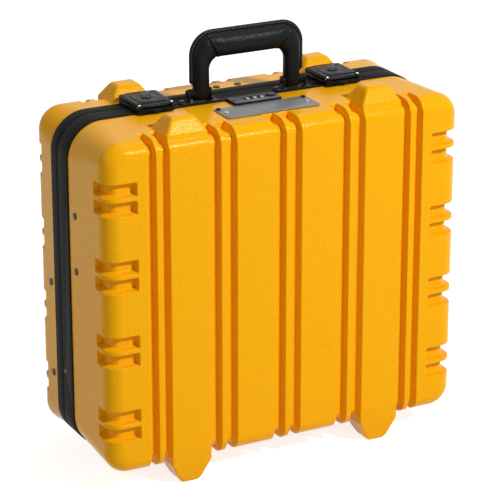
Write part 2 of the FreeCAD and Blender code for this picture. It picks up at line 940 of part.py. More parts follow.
def hinges():
    lid_knuckles = tuple(range(1, KNUCKLES, 2))
    base_knuckles = tuple(range(0, KNUCKLES, 2))
    for word, side in SIDES.items():
        x = side * d.hinge_spacing / 2
        hinge_leaf(f"{word}_hinge_base_leaf", x, -1, base_knuckles)
        hinge_leaf(f"{word}_hinge_lid_leaf", x, 1, lid_knuckles)
        start = (x - d.hinge_length / 2, parting_y, hinge_z)
        label = f"{word}_hinge_pin"
        node(cylinder(label, d.hinge_pin_radius, start, "+x", d.hinge_length), label)
    hinge_rivets("hinge_base_rivets", -1)
    hinge_rivets("hinge_lid_rivets", 1)


def hinge_frame_holes(outward):
    grip = d.hinge_leaf + d.frame_thickness
    holes = []
    for side in SIDES.values():
        for spot in hinge_rivet_spots(side * d.hinge_spacing / 2, outward):
            holes.append(rivet_hole("hinge_frame_hole", spot, "+z", grip, small=True))
    return holes


# The handle and its brackets.

def handle_path(body, low_z):
    """One leg up, over the top and down the other leg, as a wire in the plane of the handle."""
    sketch = new_sketch(body, "XZ_Plane", -handle_y)
    top_z = pivot_z + d.grip_rise
    bend_z = top_z - d.grip_bend_radius
    bend_x = leg_x - d.grip_bend_radius
    right = add_line(sketch, (leg_x, low_z), (leg_x, bend_z))
    top = add_line(sketch, (bend_x, top_z), (-bend_x, top_z))
    left = add_line(sketch, (-leg_x, bend_z), (-leg_x, low_z))
    add_arc(sketch, right, top, (bend_x, bend_z), d.grip_bend_radius)
    add_arc(sketch, top, left, (-bend_x, bend_z), d.grip_bend_radius)
    return sketch


def sweep(body, profile, path):
    pipe = body.newObject("PartDesign::AdditivePipe", f"{body.Name}_pipe")
    pipe.Profile = profile
    pipe.Spine = path
    return pipe


def grip_section(body, x, height, depth, radius):
    """One rounded section of the padded grip, square to its length."""
    sketch = new_sketch(body, "YZ_Plane", x)
    rounded_rectangle(sketch, depth, height, radius, (handle_y, pivot_z + d.grip_rise))
    return sketch


def grip_body():
    """Legs and bends of one section, and a padded swell along the top."""
    body = new_body("handle_cover")
    profile = new_sketch(body, "XY_Plane", pivot_z)
    leg_radius = d.leg_depth / 2 - d.section_flat
    grip_radius = d.grip_depth / 2 - d.section_flat
    rounded_rectangle(profile, d.leg_width, d.leg_depth, leg_radius, (leg_x, handle_y))
    sweep(body, profile, handle_path(body, pivot_z))
    thin = (d.leg_width, d.leg_depth, leg_radius)
    full = (d.grip_height, d.grip_depth, grip_radius)
    ends = d.grip_length / 2 + d.grip_swell
    sections = [
        grip_section(body, -ends, *thin),
        grip_section(body, -(d.grip_length / 2), *full),
        grip_section(body, d.grip_length / 2, *full),
        grip_section(body, ends, *thin),
    ]
    swell = body.newObject("PartDesign::AdditiveLoft", "handle_swell")
    swell.Profile = sections[0]
    swell.Sections = sections[1:]
    swell.Ruled = True
    return body


def core_body():
    body = new_body("handle_strap")
    profile = new_sketch(body, "XY_Plane", pivot_z)
    half_w, half_d = d.core_width / 2, d.core_depth / 2
    x = leg_x
    polygon(
        profile,
        [
            (x - half_w, handle_y - half_d),
            (x + half_w, handle_y - half_d),
            (x + half_w, handle_y + half_d),
            (x - half_w, handle_y + half_d),
        ],
    )
    sweep(body, profile, handle_path(body, pivot_z))
    return body


def leg_cylinder(name, side, radius, length):
    start = (side * leg_x - length / 2, handle_y, pivot_z)
    return cylinder(name, radius, start, "+x", length)


def handle():
    eyes = [leg_cylinder("handle_eye", side, d.eye_radius, d.leg_width) for side in SIDES.values()]
    bore = d.handle_pin_radius + d.running_clearance
    reach = d.leg_width + 2 * d.overrun
    bores = [leg_cylinder("handle_bore", side, bore, reach) for side in SIDES.values()]
    strap = fuse("handle_strap_whole", [core_body()] + eyes)
    core = node(cut("handle_core", strap, bores), "handle_core")
    ends = [leg_cylinder("handle_end", side, d.leg_depth / 2, d.leg_width) for side in SIDES.values()]
    cover = fuse("handle_cover_whole", [grip_body()] + ends)
    ways = [leg_cylinder("handle_way", side, d.eye_radius, d.leg_width) for side in SIDES.values()]
    node(cut("handle_grip", cover, [core] + ways), "handle_grip")


bracket_front_y = base_frame_y + d.bracket_edge
bracket_rivet_y = base_frame_y + d.base_rim_insert + d.bracket_rivet_margin
bracket_back_y = bracket_rivet_y + d.bracket_rivet_edge


def bracket_rivet_spots(side):
    """Two rivets behind the shell's rim, one beside each ear."""
    x = side * leg_x
    z = frame_top + d.bracket_plate
    reach = ear_gap / 2 + d.ear_thickness + d.bracket_rivet_offset
    return [(x + end * reach, bracket_rivet_y, z) for end in SIDES.values()]


def handle_bracket(word, side):
    """A plate on the frame with two upright ears round the handle's end."""
    label = f"{word}_handle_bracket"
    x = side * leg_x
    low = (x - bracket_half, bracket_front_y, frame_top)
    high = (x + bracket_half, bracket_back_y, frame_top + d.bracket_plate)
    parts = [box(f"{label}_plate", low, high)]
    for end in SIDES.values():
        inner = x + end * ear_gap / 2
        outer = inner + end * d.ear_thickness
        left, right = (inner, outer) if end > 0 else (outer, inner)
        low = (left, handle_y - d.ear_radius, frame_top)
        high = (right, handle_y + d.ear_radius, pivot_z)
        parts.append(box(f"{label}_ear", low, high))
        start = (left, handle_y, pivot_z)
        parts.append(cylinder(f"{label}_round", d.ear_radius, start, "+x", d.ear_thickness))
    span = ear_gap + 2 * d.ear_thickness
    start = (x - span / 2 - d.overrun, handle_y, pivot_z)
    bore = d.handle_pin_radius + d.fastener_clearance
    tools = [cylinder(f"{label}_bore", bore, start, "+x", span + 2 * d.overrun)]
    spots = bracket_rivet_spots(side)
    tools += [rivet_hole(f"{label}_hole", spot, "-z", d.bracket_plate, small=True) for spot in spots]
    node(cut(label, fuse(f"{label}_whole", parts), tools), label)
    pin = f"{word}_handle_pin"
    start = (x - span / 2, handle_y, pivot_z)
    shaft = cylinder(f"{pin}_shaft", d.handle_pin_radius, start, "+x", span)
    parts = [shaft]
    for end in SIDES.values():
        start = (x + end * span / 2, handle_y, pivot_z)
        radius = d.handle_pin_head_radius
        parts.append(cylinder(f"{pin}_head", radius, start, towards(end), d.handle_pin_head))
    node(fuse(pin, parts), pin)


def bracket_frame_holes():
    grip = d.bracket_plate + d.frame_thickness
    spots = [spot for side in SIDES.values() for spot in bracket_rivet_spots(side)]
    return [rivet_hole("bracket_frame_hole", spot, "-z", grip, small=True) for spot in spots]


def bracket_rivets():
    grip = d.bracket_plate + d.frame_thickness
    spots = [spot for side in SIDES.values() for spot in bracket_rivet_spots(side)]
    rivets = [rivet("bracket_rivet", spot, "-z", grip, small=True) for spot in spots]
    node(group("handle_bracket_rivets", rivets), "handle_bracket_rivets")


# The latches.

latch_front_y = base_frame_y - d.latch_front_overhang
latch_back_y = lid_frame_y + d.latch_back_overhang
latch_base_top = frame_top + d.latch_base_height
lever_low = latch_base_top + d.latch_gap
lever_top = lever_low + d.lever_thickness
latch_pin_y = latch_front_y + d.latch_pin_setback
latch_pin_z = lever_low + d.lever_thickness / 2
lug_back_y = latch_front_y + d.latch_lug_length
lug_corner = diagonal(lug_back_y - latch_pin_y, d.lever_thickness / 2)
neck_y = latch_pin_y + lug_corner + d.latch_lug_clearance
hook_y = latch_back_y - d.hook_setback
key_y = latch_back_y - d.hook_setback - d.key_setback


def latch_rivet_spots(side, outward, sunk):
    """Rivets of the base plate (towards the front) or of the keeper (towards the back)."""
    x = side * latch_x
    y = parting_y + outward * d.latch_rivet_offset
    z = latch_base_top - sunk
    return [(x + end * d.latch_rivet_spacing / 2, y, z) for end in SIDES.values()]


def latch_fastening(label, side, outward):
    """The cuts that seat two sunk rivets in a latch plate."""
    tools = []
    for spot in latch_rivet_spots(side, outward, ZERO):
        tools.append(rivet_hole(f"{label}_hole", spot, "-z", d.latch_base_height, small=True))
        tools.append(sunk_hole(f"{label}_sink", spot, "-z"))
    return tools


def latch_base(word, side):
    label = f"{word}_latch_base"
    x = side * latch_x
    half = d.latch_width / 2
    plate = box(
        f"{label}_plate", (x - half, latch_front_y, frame_top), (x + half, base_face_y, latch_base_top)
    )
    parts = [plate]
    for end in SIDES.values():
        outer = x + end * half
        inner = outer - end * d.latch_lug_width
        left, right = (inner, outer) if end > 0 else (outer, inner)
        low = (left, latch_front_y, frame_top)
        parts.append(box(f"{label}_lug", low, (right, lug_back_y, lever_top)))
    tab_low = frame_top + (d.latch_base_height - d.latch_tab_height) / 2
    low = (x - d.latch_tab_width / 2, latch_front_y - d.latch_tab_length, tab_low)
    high = (x + d.latch_tab_width / 2, latch_front_y, tab_low + d.latch_tab_height)
    parts.append(box(f"{label}_tab", low, high))
    start = (x - half - d.overrun, latch_pin_y, latch_pin_z)
    bore = d.latch_pin_radius + d.fastener_clearance
    tools = [cylinder(f"{label}_bore", bore, start, "+x", d.latch_width + 2 * d.overrun)]
    tools += latch_fastening(label, side, -1)
    node(cut(label, fuse(f"{label}_whole", parts), tools), label)
    pin = f"{word}_latch_pin"
    start = (x - half, latch_pin_y, latch_pin_z)
    node(cylinder(pin, d.latch_pin_radius, start, "+x", d.latch_width), pin)


def lever_body(label, x):
    """The lever's plate: a narrow tongue at the pin, full width behind the lugs and an arched back edge."""
    body = new_body(f"{label}_body")
    sketch = new_sketch(body, "XY_Plane", lever_low)
    half = d.latch_width / 2
    tongue = half - d.latch_lug_width - d.latch_lug_clearance
    points = [
        (x - half, latch_back_y),
        (x - half, neck_y),
        (x - tongue, neck_y),
        (x - tongue, latch_pin_y),
        (x + tongue, latch_pin_y),
        (x + tongue, neck_y),
        (x + half, neck_y),
        (x + half, latch_back_y),
    ]
    edges = [add_line(sketch, points[0], points[1])]
    for start, end in zip(points[1:-2], points[2:-1]):
        edge = sketch.addGeometry(Part.LineSegment(vector(start), vector(end)))
        sketch.addConstraint(Sketcher.Constraint("Coincident", edge, 1, edges[-1], 2))
        pin_point(sketch, edge, 2, end)
        edges.append(edge)
    last = sketch.addGeometry(Part.LineSegment(vector(points[-2]), vector(points[-1])))
    sketch.addConstraint(Sketcher.Constraint("Coincident", last, 1, edges[-1], 2))
    pin_point(sketch, last, 2, points[-1])
    radius = (half * half + d.latch_arch * d.latch_arch) / (2 * d.latch_arch)
    add_arc(sketch, last, edges[0], (x, latch_back_y + d.latch_arch - radius), radius)
    pad(body, sketch, d.lever_thickness)
    panel = new_sketch(body, "XY_Plane", lever_top)
    half_panel = d.lever_panel_width / 2
    polygon(
        panel,
        [
            (x - half_panel, neck_y),
            (x + half_panel, neck_y),
            (x + half_panel, neck_y + d.lever_panel_length),
            (x - half_panel, neck_y + d.lever_panel_length),
        ],
    )
    pad(body, panel, d.lever_panel_rise)
    return body


def latch_lever(word, side):
    label = f"{word}_latch_lever"
    x = side * latch_x
    tongue = d.latch_width / 2 - d.latch_lug_width - d.latch_lug_clearance
    start = (x - tongue, latch_pin_y, latch_pin_z)
    barrel = cylinder(f"{label}_barrel", d.lever_thickness / 2, start, "+x", 2 * tongue)
    low = (x - d.hook_width / 2, hook_y, lever_low - d.hook_drop)
    high = (x + d.hook_width / 2, hook_y + d.hook_length, lever_low)
    hook = box(f"{label}_hook", low, high)
    start = (x - d.latch_width, latch_pin_y, latch_pin_z)
    radius = d.latch_pin_radius + d.running_clearance
    bore = cylinder(f"{label}_bore", radius, start, "+x", 2 * d.latch_width)
    panel_top = lever_top + d.lever_panel_rise
    start = (x, key_y, lever_low - d.overrun)
    reach = panel_top - lever_low + 2 * d.overrun
    key_way = cylinder(f"{label}_way", d.key_radius + d.running_clearance, start, "+z", reach)
    whole = fuse(f"{label}_whole", [lever_body(label, x), barrel, hook])
    node(cut(label, whole, [bore, key_way]), label)
    key = f"{word}_key_barrel"
    key_top = panel_top + d.key_rise
    half_w, half_l = d.key_slot_width / 2, d.key_slot_length / 2
    low = (x - half_w, key_y - half_l, key_top - d.key_slot_depth)
    high = (x + half_w, key_y + half_l, key_top + d.overrun)
    start = (x, key_y, lever_low)
    barrel = cylinder(f"{key}_body", d.key_radius, start, "+z", key_top - lever_low)
    node(cut(key, barrel, [box(f"{key}_slot", low, high)]), key)


def latch_keeper(word, side):
    """The lid's half of the latch, with the channel that the lever's hook drops into."""
    label = f"{word}_latch_keeper"
    x = side * latch_x
    half = d.latch_width / 2
    low = (x - half, lid_face_y, frame_top)
    plate = box(f"{label}_plate", low, (x + half, latch_back_y, latch_base_top))
    channel = d.hook_width / 2 + d.hook_clearance
    floor = lever_low - d.hook_drop - d.hook_clearance
    low = (x - channel, lid_face_y - d.overrun, floor)
    high = (x + channel, latch_back_y + d.overrun, latch_base_top + d.overrun)
    tools = [box(f"{label}_channel", low, high)] + latch_fastening(label, side, 1)
    node(cut(label, plate, tools), label)


def latch_rivets(label, outward):
    grip = d.latch_base_height - d.small_head + d.frame_thickness
    rivets = []
    for side in SIDES.values():
        for spot in latch_rivet_spots(side, outward, d.small_head):
            rivets.append(rivet(f"{label}_one", spot, "-z", grip, small=True))
    node(group(label, rivets), label)


def latch_frame_holes(outward):
    grip = d.latch_base_height + d.frame_thickness
    spots = [spot for side in SIDES.values() for spot in latch_rivet_spots(side, outward, ZERO)]
    return [rivet_hole("latch_frame_hole", spot, "-z", grip, small=True) for spot in spots]


# The combination lock.

lock_back_y = base_frame_y - d.lock_seat_gap
lock_top = shell_top + d.lock_plate
bay_radius = d.dial_radius + d.dial_clearance
bay_width = d.dial_width + 2 * d.dial_clearance
box_half = d.dial_pitch * (DIALS - 1) / 2 + bay_width / 2 + d.lock_box_wall
box_back_y = lock_back_y - d.lock_box_inset
dial_y = box_back_y - d.lock_box_side - bay_radius
box_front_y = dial_y - bay_radius - d.lock_box_side
lock_front_y = box_front_y - d.lock_box_inset
dial_z = lock_top + d.dial_rise - d.dial_radius
catch_high_z = dial_z - bay_radius - d.lock_floor - d.catch_slot_clearance
catch_low_z = catch_high_z - d.catch_thickness
box_low_z = catch_low_z - d.catch_rise
slide_x = box_half + d.slide_inset
stem_x = slide_x + (d.slide_width - d.stem_width) / 2
lock_half = slide_x + d.slide_width + d.slide_travel + d.lock_end


def lock_box(name, margin, low_z, high_z):
    half = box_half + margin
    return box(name, (-half, box_front_y - margin, low_z), (half, box_back_y + margin, high_z))


def lock_opening():
    """The cut-out in the shell's top that the lock's box passes through."""
    return lock_box("lock_cut_out", d.seat_clearance, shell_top - 2 * d.wall, shell_top + d.overrun)


def dial_x(number):
    return d.dial_pitch * (number - (DIALS - 1) / 2)


def lock_housing():
    low = (-lock_half, lock_front_y, shell_top)
    plate = box("lock_plate", low, (lock_half, lock_back_y, lock_top))
    tools = []
    for number in range(DIALS):
        start = (dial_x(number) - bay_width / 2, dial_y, dial_z)
        tools.append(cylinder("dial_bay", bay_radius, start, "+x", bay_width))
    start = (-lock_half, dial_y, dial_z)
    tools.append(cylinder("axle_bore", d.axle_radius + d.fastener_clearance, start, "+x", 2 * lock_half))
    reach = d.catch_width / 2 + d.hook_clearance
    low = (-reach, box_back_y - d.catch_entry - d.hook_clearance, box_low_z + d.catch_rise / 2)
    high = (reach, box_back_y + d.overrun, catch_high_z + d.catch_slot_clearance)
    tools.append(box("catch_slot", low, high))
    reach = d.stem_width / 2 + d.hook_clearance
    low = (stem_x - d.hook_clearance, dial_y - reach, lock_top - d.stem_depth - d.hook_clearance)
    high_x = stem_x + d.stem_width + d.slide_travel + d.hook_clearance
    high = (high_x, dial_y + reach, lock_top + d.overrun)
    tools.append(box("slide_way", low, high))
    whole = fuse("lock_whole", [plate, lock_box("lock_case", ZERO, box_low_z, shell_top)])
    node(cut("lock_housing", whole, tools), "lock_housing")


def lock_dial(number):
    """A ten-sided number wheel on the lock's axle."""
    label = f"lock_dial_{number + 1}"
    wheel = doc.addObject("Part::Prism", f"{label}_wheel")
    wheel.Polygon = DIAL_FACES
    bind(wheel, "Circumradius", d.dial_radius)
    bind(wheel, "Height", d.dial_width)
    wheel.Placement = FreeCAD.Placement(FreeCAD.Vector(), FreeCAD.Rotation(AXES["+z"], AXES["+x"]))
    start_x = dial_x(number) - d.dial_width / 2
    place(wheel, start_x, dial_y, dial_z)
    start = (start_x - d.overrun, dial_y, dial_z)
    reach = d.dial_width + 2 * d.overrun
    bore = cylinder(f"{label}_bore", d.axle_radius + d.running_clearance, start, "+x", reach)
    node(cut(label, wheel, [bore]), label)


def lock_slide():
    low = (slide_x, dial_y - d.slide_length / 2, lock_top)
    high = (slide_x + d.slide_width, dial_y + d.slide_length / 2, lock_top + d.slide_height)
    button = box("slide_button", low, high)
    low = (stem_x, dial_y - d.stem_width / 2, lock_top - d.stem_depth)
    high = (stem_x + d.stem_width, dial_y + d.stem_width / 2, lock_top + d.slide_height)
    node(fuse("lock_slide", [button, box("slide_stem", low, high)]), "lock_slide")


def catch_rivet_spots():
    y = lid_frame_y + d.catch_rivet_offset
    return [(side * d.catch_rivet_spacing / 2, y, shell_top) for side in SIDES.values()]


def lock_catch():
    """A stepped strip under the lid's top whose end reaches into the lock's box."""
    ceiling = shell_top - d.wall
    mid_y = lid_frame_y + d.catch_rivet_offset
    front = mid_y - d.catch_plate_length / 2
    half = d.catch_plate_width / 2
    low = (-half, front, ceiling - d.catch_plate)
    plate = box("catch_plate", low, (half, front + d.catch_plate_length, ceiling))
    reach = d.catch_width / 2
    web = box("catch_web", (-reach, front, catch_low_z), (reach, front + d.catch_thickness, ceiling))
    tip_y = box_back_y - d.catch_entry
    bolt = box("catch_bolt", (-reach, tip_y, catch_low_z), (reach, front + d.catch_thickness, catch_high_z))
    holes = [rivet_hole("catch_hole", spot, "-z", d.wall + d.catch_plate) for spot in catch_rivet_spots()]
    node(cut("lock_catch", fuse("catch_whole", [plate, web, bolt]), holes), "lock_catch")
    rivets = [rivet("catch_rivet", spot, "-z", d.wall + d.catch_plate) for spot in catch_rivet_spots()]
    node(group("lock_catch_rivets", rivets), "lock_catch_rivets")


def catch_shell_holes():
    return [rivet_hole("catch_shell_hole", spot, "-z", d.wall) for spot in catch_rivet_spots()]


def lock():
    lock_housing()
    start = (-box_half, dial_y, dial_z)
    node(cylinder("lock_axle", d.axle_radius, start, "+x", 2 * box_half), "lock_axle")
    for number in range(DIALS):
        lock_dial(number)
    lock_slide()
    lock_catch()


# The nameplate.

plate_back_y = lock_front_y - d.lock_seat_gap
plate_mid_y = plate_back_y - d.plate_length / 2
plate_top = shell_top + d.plate_thickness


def plate_rivet_spots():
    x = d.plate_width / 2 - d.plate_rivet_inset
    return [(side * x, plate_mid_y, plate_top) for side in SIDES.values()]


def stud_spots():
    x = d.plate_width / 2 - d.stud_edge
    return [(side * x, plate_back_y - d.stud_inset, plate_top) for side in SIDES.values()]


def nameplate():
    body = new_body("nameplate_body")
    sketch = new_sketch(body, "XY_Plane", shell_top)
    rounded_rectangle(sketch, d.plate_width, d.plate_length, d.plate_corner_radius, (ZERO, plate_mid_y))
    pad(body, sketch, d.plate_thickness)
    spots = plate_rivet_spots()
    holes = [rivet_hole("plate_hole", spot, "-z", d.plate_thickness, small=True) for spot in spots]
    node(cut("nameplate", body, holes), "nameplate")
    rivets = [rivet("plate_rivet", spot, "-z", d.plate_rivet_length, small=True) for spot in spots]
    node(group("nameplate_rivets", rivets), "nameplate_rivets")
    studs = [cylinder("plate_stud", d.stud_radius, spot, "+z", d.stud_height) for spot in stud_spots()]
    node(group("nameplate_studs", studs), "nameplate_studs")


def plate_shell_holes():
    spots = plate_rivet_spots()
    return [rivet_hole("plate_shell_hole", spot, "-z", d.plate_rivet_length, small=True) for spot in spots]


# The lid stays: a bracket on each wall and two links that fold as a parallelogram with the lid.

def up_the_side(share):
    """A height at a share of the shell's own height."""
    return shell_low + d.shell_height * share


base_stay_y = base_frame_y - d.base_rivet_offset
lid_stay_y = lid_frame_y + d.lid_rivet_offset
upper_link_x = frame_inner_x - d.stay_frame_gap
lower_link_x = upper_link_x - d.stay_link - d.stay_gap
upper_pivot = (base_stay_y, up_the_side(BASE_PIVOT_SHARE))
lower_pivot = (lid_stay_y, up_the_side(LID_PIVOT_SHARE))
elbow = (base_stay_y + lid_stay_y - parting_y, upper_pivot[1] + lower_pivot[1] - hinge_z)
base_heights = [up_the_side(share) for share in BASE_RIVETS_SHARES]
lid_heights = [up_the_side(share) for share in LID_RIVETS_SHARES]


def at_side(side, x, pivot):
    return (x * side, pivot[0], pivot[1])


def stay_rivet_spots(side, y, heights):
    return [(side * d.shell_width / 2, y, height) for height in heights]


def stay_bracket(label, side, pivot, heights, link_x):
    """A plate on the shell's inner wall with a boss and pin for one link."""
    y = pivot[0]
    half = d.stay_plate_width / 2
    inner_x = shell_inner_x - d.stay_plate
    ends = (side * inner_x, side * shell_inner_x)
    low_x, high_x = ends if side > 0 else ends[::-1]
    low = (low_x, y - half, heights[0] - half)
    plate = box(f"{label}_plate", low, (high_x, y + half, heights[1] + half))
    inward = towards(-side)
    boss_end = link_x + d.stay_gap
    start = at_side(side, shell_inner_x, pivot)
    boss = cylinder(f"{label}_boss", d.stay_boss_radius, start, inward, shell_inner_x - boss_end)
    pin_end = link_x - d.stay_link - d.stay_gap
    start = at_side(side, boss_end, pivot)
    pin = cylinder(f"{label}_pin", d.stay_pin_radius, start, inward, boss_end - pin_end)
    start = at_side(side, pin_end, pivot)
    head = cylinder(f"{label}_head", d.stay_pin_head_radius, start, inward, d.stay_pin_head)
    holes = [
        rivet_hole(f"{label}_hole", spot, inward, d.wall + d.stay_plate)
        for spot in stay_rivet_spots(side, y, heights)
    ]
    node(cut(label, fuse(f"{label}_whole", [plate, boss, pin, head]), holes), label)


def link_bar(label, side, x, first, last):
    """A flat bar with round ends from one pivot to the other, in the plane of the stays."""
    body = new_body(f"{label}_bar")
    sketch = new_sketch(body, "YZ_Plane", x * side)
    run_y, run_z = (last[0] - first[0]), (last[1] - first[1])
    stretch = diagonal(run_y, run_z)
    half = d.stay_link_width / 2
    side_y, side_z = run_z * half / stretch, -(run_y * half / stretch)
    polygon(
        sketch,
        [
            (first[0] + side_y, first[1] + side_z),
            (last[0] + side_y, last[1] + side_z),
            (last[0] - side_y, last[1] - side_z),
            (first[0] - side_y, first[1] - side_z),
        ],
    )
    pad(body, sketch, d.stay_link, reverse=side > 0)
    inward = towards(-side)
    starts = [at_side(side, x, pivot) for pivot in (first, last)]
    ends = [cylinder(f"{label}_end", half, start, inward, d.stay_link) for start in starts]
    return fuse(f"{label}_bar_whole", [body] + ends)


def stay_link(label, side, x, first, last, end_hole):
    """One link, bored for its own pin and, at the elbow, carrying or taking the elbow's pin."""
    bar = link_bar(label, side, x, first, last)
    inward = towards(-side)
    start = at_side(side, x + d.overrun, first)
    reach = d.stay_link + 2 * d.overrun
    tools = [cylinder(f"{label}_bore", d.stay_pin_radius + d.running_clearance, start, inward, reach)]
    if end_hole:
        start = at_side(side, x + d.overrun, last)
        eye = d.stay_pin_radius + d.open_pivot_clearance
        tools.append(cylinder(f"{label}_eye", eye, start, inward, reach))
        node(cut(label, bar, tools), label)
        return
    pin_length = 2 * d.stay_link + 2 * d.stay_gap
    pin = cylinder(f"{label}_pin", d.stay_pin_radius, at_side(side, x, last), inward, pin_length)
    start = at_side(side, x - pin_length, last)
    head = cylinder(f"{label}_head", d.stay_pin_head_radius, start, inward, d.stay_pin_head)
    node(cut(label, fuse(f"{label}_whole", [bar, pin, head]), tools), label)


def stays():
    for word, side in SIDES.items():
        stay_bracket(f"{word}_stay_base_bracket", side, upper_pivot, base_heights, upper_link_x)
        stay_bracket(f"{word}_stay_lid_bracket", side, lower_pivot, lid_heights, lower_link_x)
        stay_link(f"{word}_stay_upper_link", side, upper_link_x, upper_pivot, elbow, end_hole=False)
        stay_link(f"{word}_stay_lower_link", side, lower_link_x, lower_pivot, elbow, end_hole=True)
    side_rivets("base_side_rivets", base_stay_y, base_heights)
    side_rivets("lid_side_rivets", lid_stay_y, lid_heights)


def side_rivets(label, y, heights):
    rivets = []
    for side in SIDES.values():
        for spot in stay_rivet_spots(side, y, heights):
            rivets.append(rivet(f"{label}_one", spot, towards(-side), d.wall + d.stay_plate))
    node(group(label, rivets), label)


def side_shell_holes(y, heights):
    spots = [(side, spot) for side in SIDES.values() for spot in stay_rivet_spots(side, y, heights)]
    return [rivet_hole("side_shell_hole", spot, towards(-side), d.wall) for side, spot in spots]


# The rivets that close the base frame's butt joints.

def joint_spots():
    y = parting_y - d.frame_joint_inset
    z = frame_low + d.frame_joint_height
    return [(side, (side * frame_width / 2 - side * d.small_head, y, z)) for side in SIDES.values()]


def frame_joint_rivets():
    grip = d.frame_thickness - d.small_head
    rivets = [rivet("joint_rivet", spot, towards(-side), grip, small=True) for side, spot in joint_spots()]
    node(group("frame_joint_rivets", rivets), "frame_joint_rivets")


def joint_frame_holes():
    holes = []
    for side, spot in joint_spots():
        surface = moved(spot, towards(side), d.small_head)
        holes.append(rivet_hole("joint_hole", surface, towards(-side), d.frame_thickness, small=True))
        holes.append(sunk_hole("joint_sink", surface, towards(-side)))
    return holes


def build():
    reaches = (d.front_groove_wrap, d.front_pocket_reach)
    front = Shell("front_shell", -1, front_y, base_frame_y, d.base_rim_insert, *reaches)
    reaches = (d.back_groove_wrap, d.back_pocket_reach)
    back = Shell("back_shell", 1, back_y, lid_frame_y, d.lid_rim_insert, *reaches)
    build_shell(front, [lock_opening()] + plate_shell_holes() + side_shell_holes(base_stay_y, base_heights))
    build_shell(back, catch_shell_holes() + side_shell_holes(lid_stay_y, lid_heights))
    base_frame(hinge_frame_holes(-1) + bracket_frame_holes() + latch_frame_holes(-1) + joint_frame_holes())
    lid_frame(hinge_frame_holes(1) + latch_frame_holes(1))
    frame_joint_rivets()
    hinges()
    handle()
    for word, side in SIDES.items():
        handle_bracket(word, side)
        latch_base(word, side)
        latch_lever(word, side)
        latch_keeper(word, side)
    bracket_rivets()
    latch_rivets("latch_base_rivets", -1)
    latch_rivets("latch_keeper_rivets", 1)
    lock()
    nameplate()
    stays()


def write():
    """Check every object, then write one file for each piece."""
    doc.recompute()
    for thing in doc.Objects:
        if "Invalid" in thing.State or "Error" in thing.State:
            raise RuntimeError(f"{thing.Label} failed: {thing.State}")
    os.makedirs("parts", exist_ok=True)
    for piece in nodes:
        shape = piece.Shape
        if shape.isNull() or not shape.isValid() or not shape.Solids:
            raise RuntimeError(f"{piece.Label} has no valid solid")
        shape.exportStep(f"parts/{piece.Label}.step")
        print(f"{piece.Label}: {len(shape.Solids)} solid(s), {shape.Volume:.1f} mm3")


build()
write()
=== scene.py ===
"""Looks of the hard tool case: thermoformed shells, leather handle, finishes, light and camera.

Metres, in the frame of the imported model: +X right, +Y to the back, +Z up.
"""

import json
import math

import bmesh
import bpy
import numpy as np
from mathutils import Matrix, Vector


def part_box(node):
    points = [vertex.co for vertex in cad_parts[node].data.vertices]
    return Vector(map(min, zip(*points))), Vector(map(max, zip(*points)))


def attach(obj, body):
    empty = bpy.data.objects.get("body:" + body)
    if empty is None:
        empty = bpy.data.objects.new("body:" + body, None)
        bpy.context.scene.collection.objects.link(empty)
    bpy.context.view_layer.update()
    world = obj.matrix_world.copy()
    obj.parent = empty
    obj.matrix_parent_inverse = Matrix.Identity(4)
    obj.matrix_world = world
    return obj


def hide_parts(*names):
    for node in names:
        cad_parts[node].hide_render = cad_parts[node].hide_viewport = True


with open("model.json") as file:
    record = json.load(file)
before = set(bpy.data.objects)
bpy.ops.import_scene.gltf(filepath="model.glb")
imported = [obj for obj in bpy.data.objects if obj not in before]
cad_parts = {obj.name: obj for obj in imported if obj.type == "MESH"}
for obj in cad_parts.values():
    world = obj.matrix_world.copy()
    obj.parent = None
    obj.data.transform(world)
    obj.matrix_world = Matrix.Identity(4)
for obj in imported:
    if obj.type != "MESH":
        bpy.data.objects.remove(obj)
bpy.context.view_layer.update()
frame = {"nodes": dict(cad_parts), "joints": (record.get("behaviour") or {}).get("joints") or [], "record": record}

NODES = frame["nodes"]
JOINTS = {joint["name"]: joint for joint in frame["joints"]}

# Places read from the frame.
FRONT_LOW, FRONT_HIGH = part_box("front_shell")
BACK_LOW, BACK_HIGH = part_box("back_shell")
BASE_FRAME_LOW, BASE_FRAME_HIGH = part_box("base_frame")
LID_FRAME_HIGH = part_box("lid_frame")[1]
GRIP_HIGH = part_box("handle_grip")[1]
PIVOT_Y, PIVOT_Z = JOINTS["handle_hinge"]["pos_m"][1:]

# Sizes of the shells, as the solids have them.
FRAME_PROUD = 0.0015
CORNER_RADIUS = 0.042
FACE_CORNER_RADIUS = 0.025
EDGE_RADIUS = 0.019
WALL = 0.003
DRAFT = 0.0012
GROOVE_DEPTH = 0.0085
GROOVE_WALL = 0.0034
RIB_HALF = 0.0039
RIB_WALL = 0.0022
CHANNELS = ((-0.1635, 0.0125), (-0.083, 0.016), (0.0, 0.016), (0.083, 0.016), (0.1635, 0.0125))
POCKET_PITCH = 0.0904
POCKET_ROWS_SHARES = (-1.5, -0.5, 0.5, 1.5)
POCKET_HEIGHT = 0.0142
POCKET_RIB = 0.007
POCKET_FACE_REACH = 0.039
POCKET_WALL = 0.0036
NUB_X = 0.125
NUB_FALL = 0.0009
NUB_BLEND = 0.0026
WALL_STEPS_SHARES = (-1.0, -0.6, -0.45, -0.3, -0.15, 0.0, 0.15, 0.3, 0.45, 0.6, 1.0)
WIDEST_STEP = 0.012
FINE_STEP = 0.0012
MERGE = 1e-6
MARK_GAP = MERGE * 100
CORNER_STEPS = 30
EDGE_TURN_STEP = 2.0
FRONT_GROOVE_WRAP = 0.033
FRONT_POCKET_REACH = 0.030
BACK_GROOVE_WRAP = 0.022
BACK_POCKET_REACH = 0.020
SHELL_LOW_Z = BASE_FRAME_LOW[2] + FRAME_PROUD
SHELL_HIGH_Z = BASE_FRAME_HIGH[2] - FRAME_PROUD
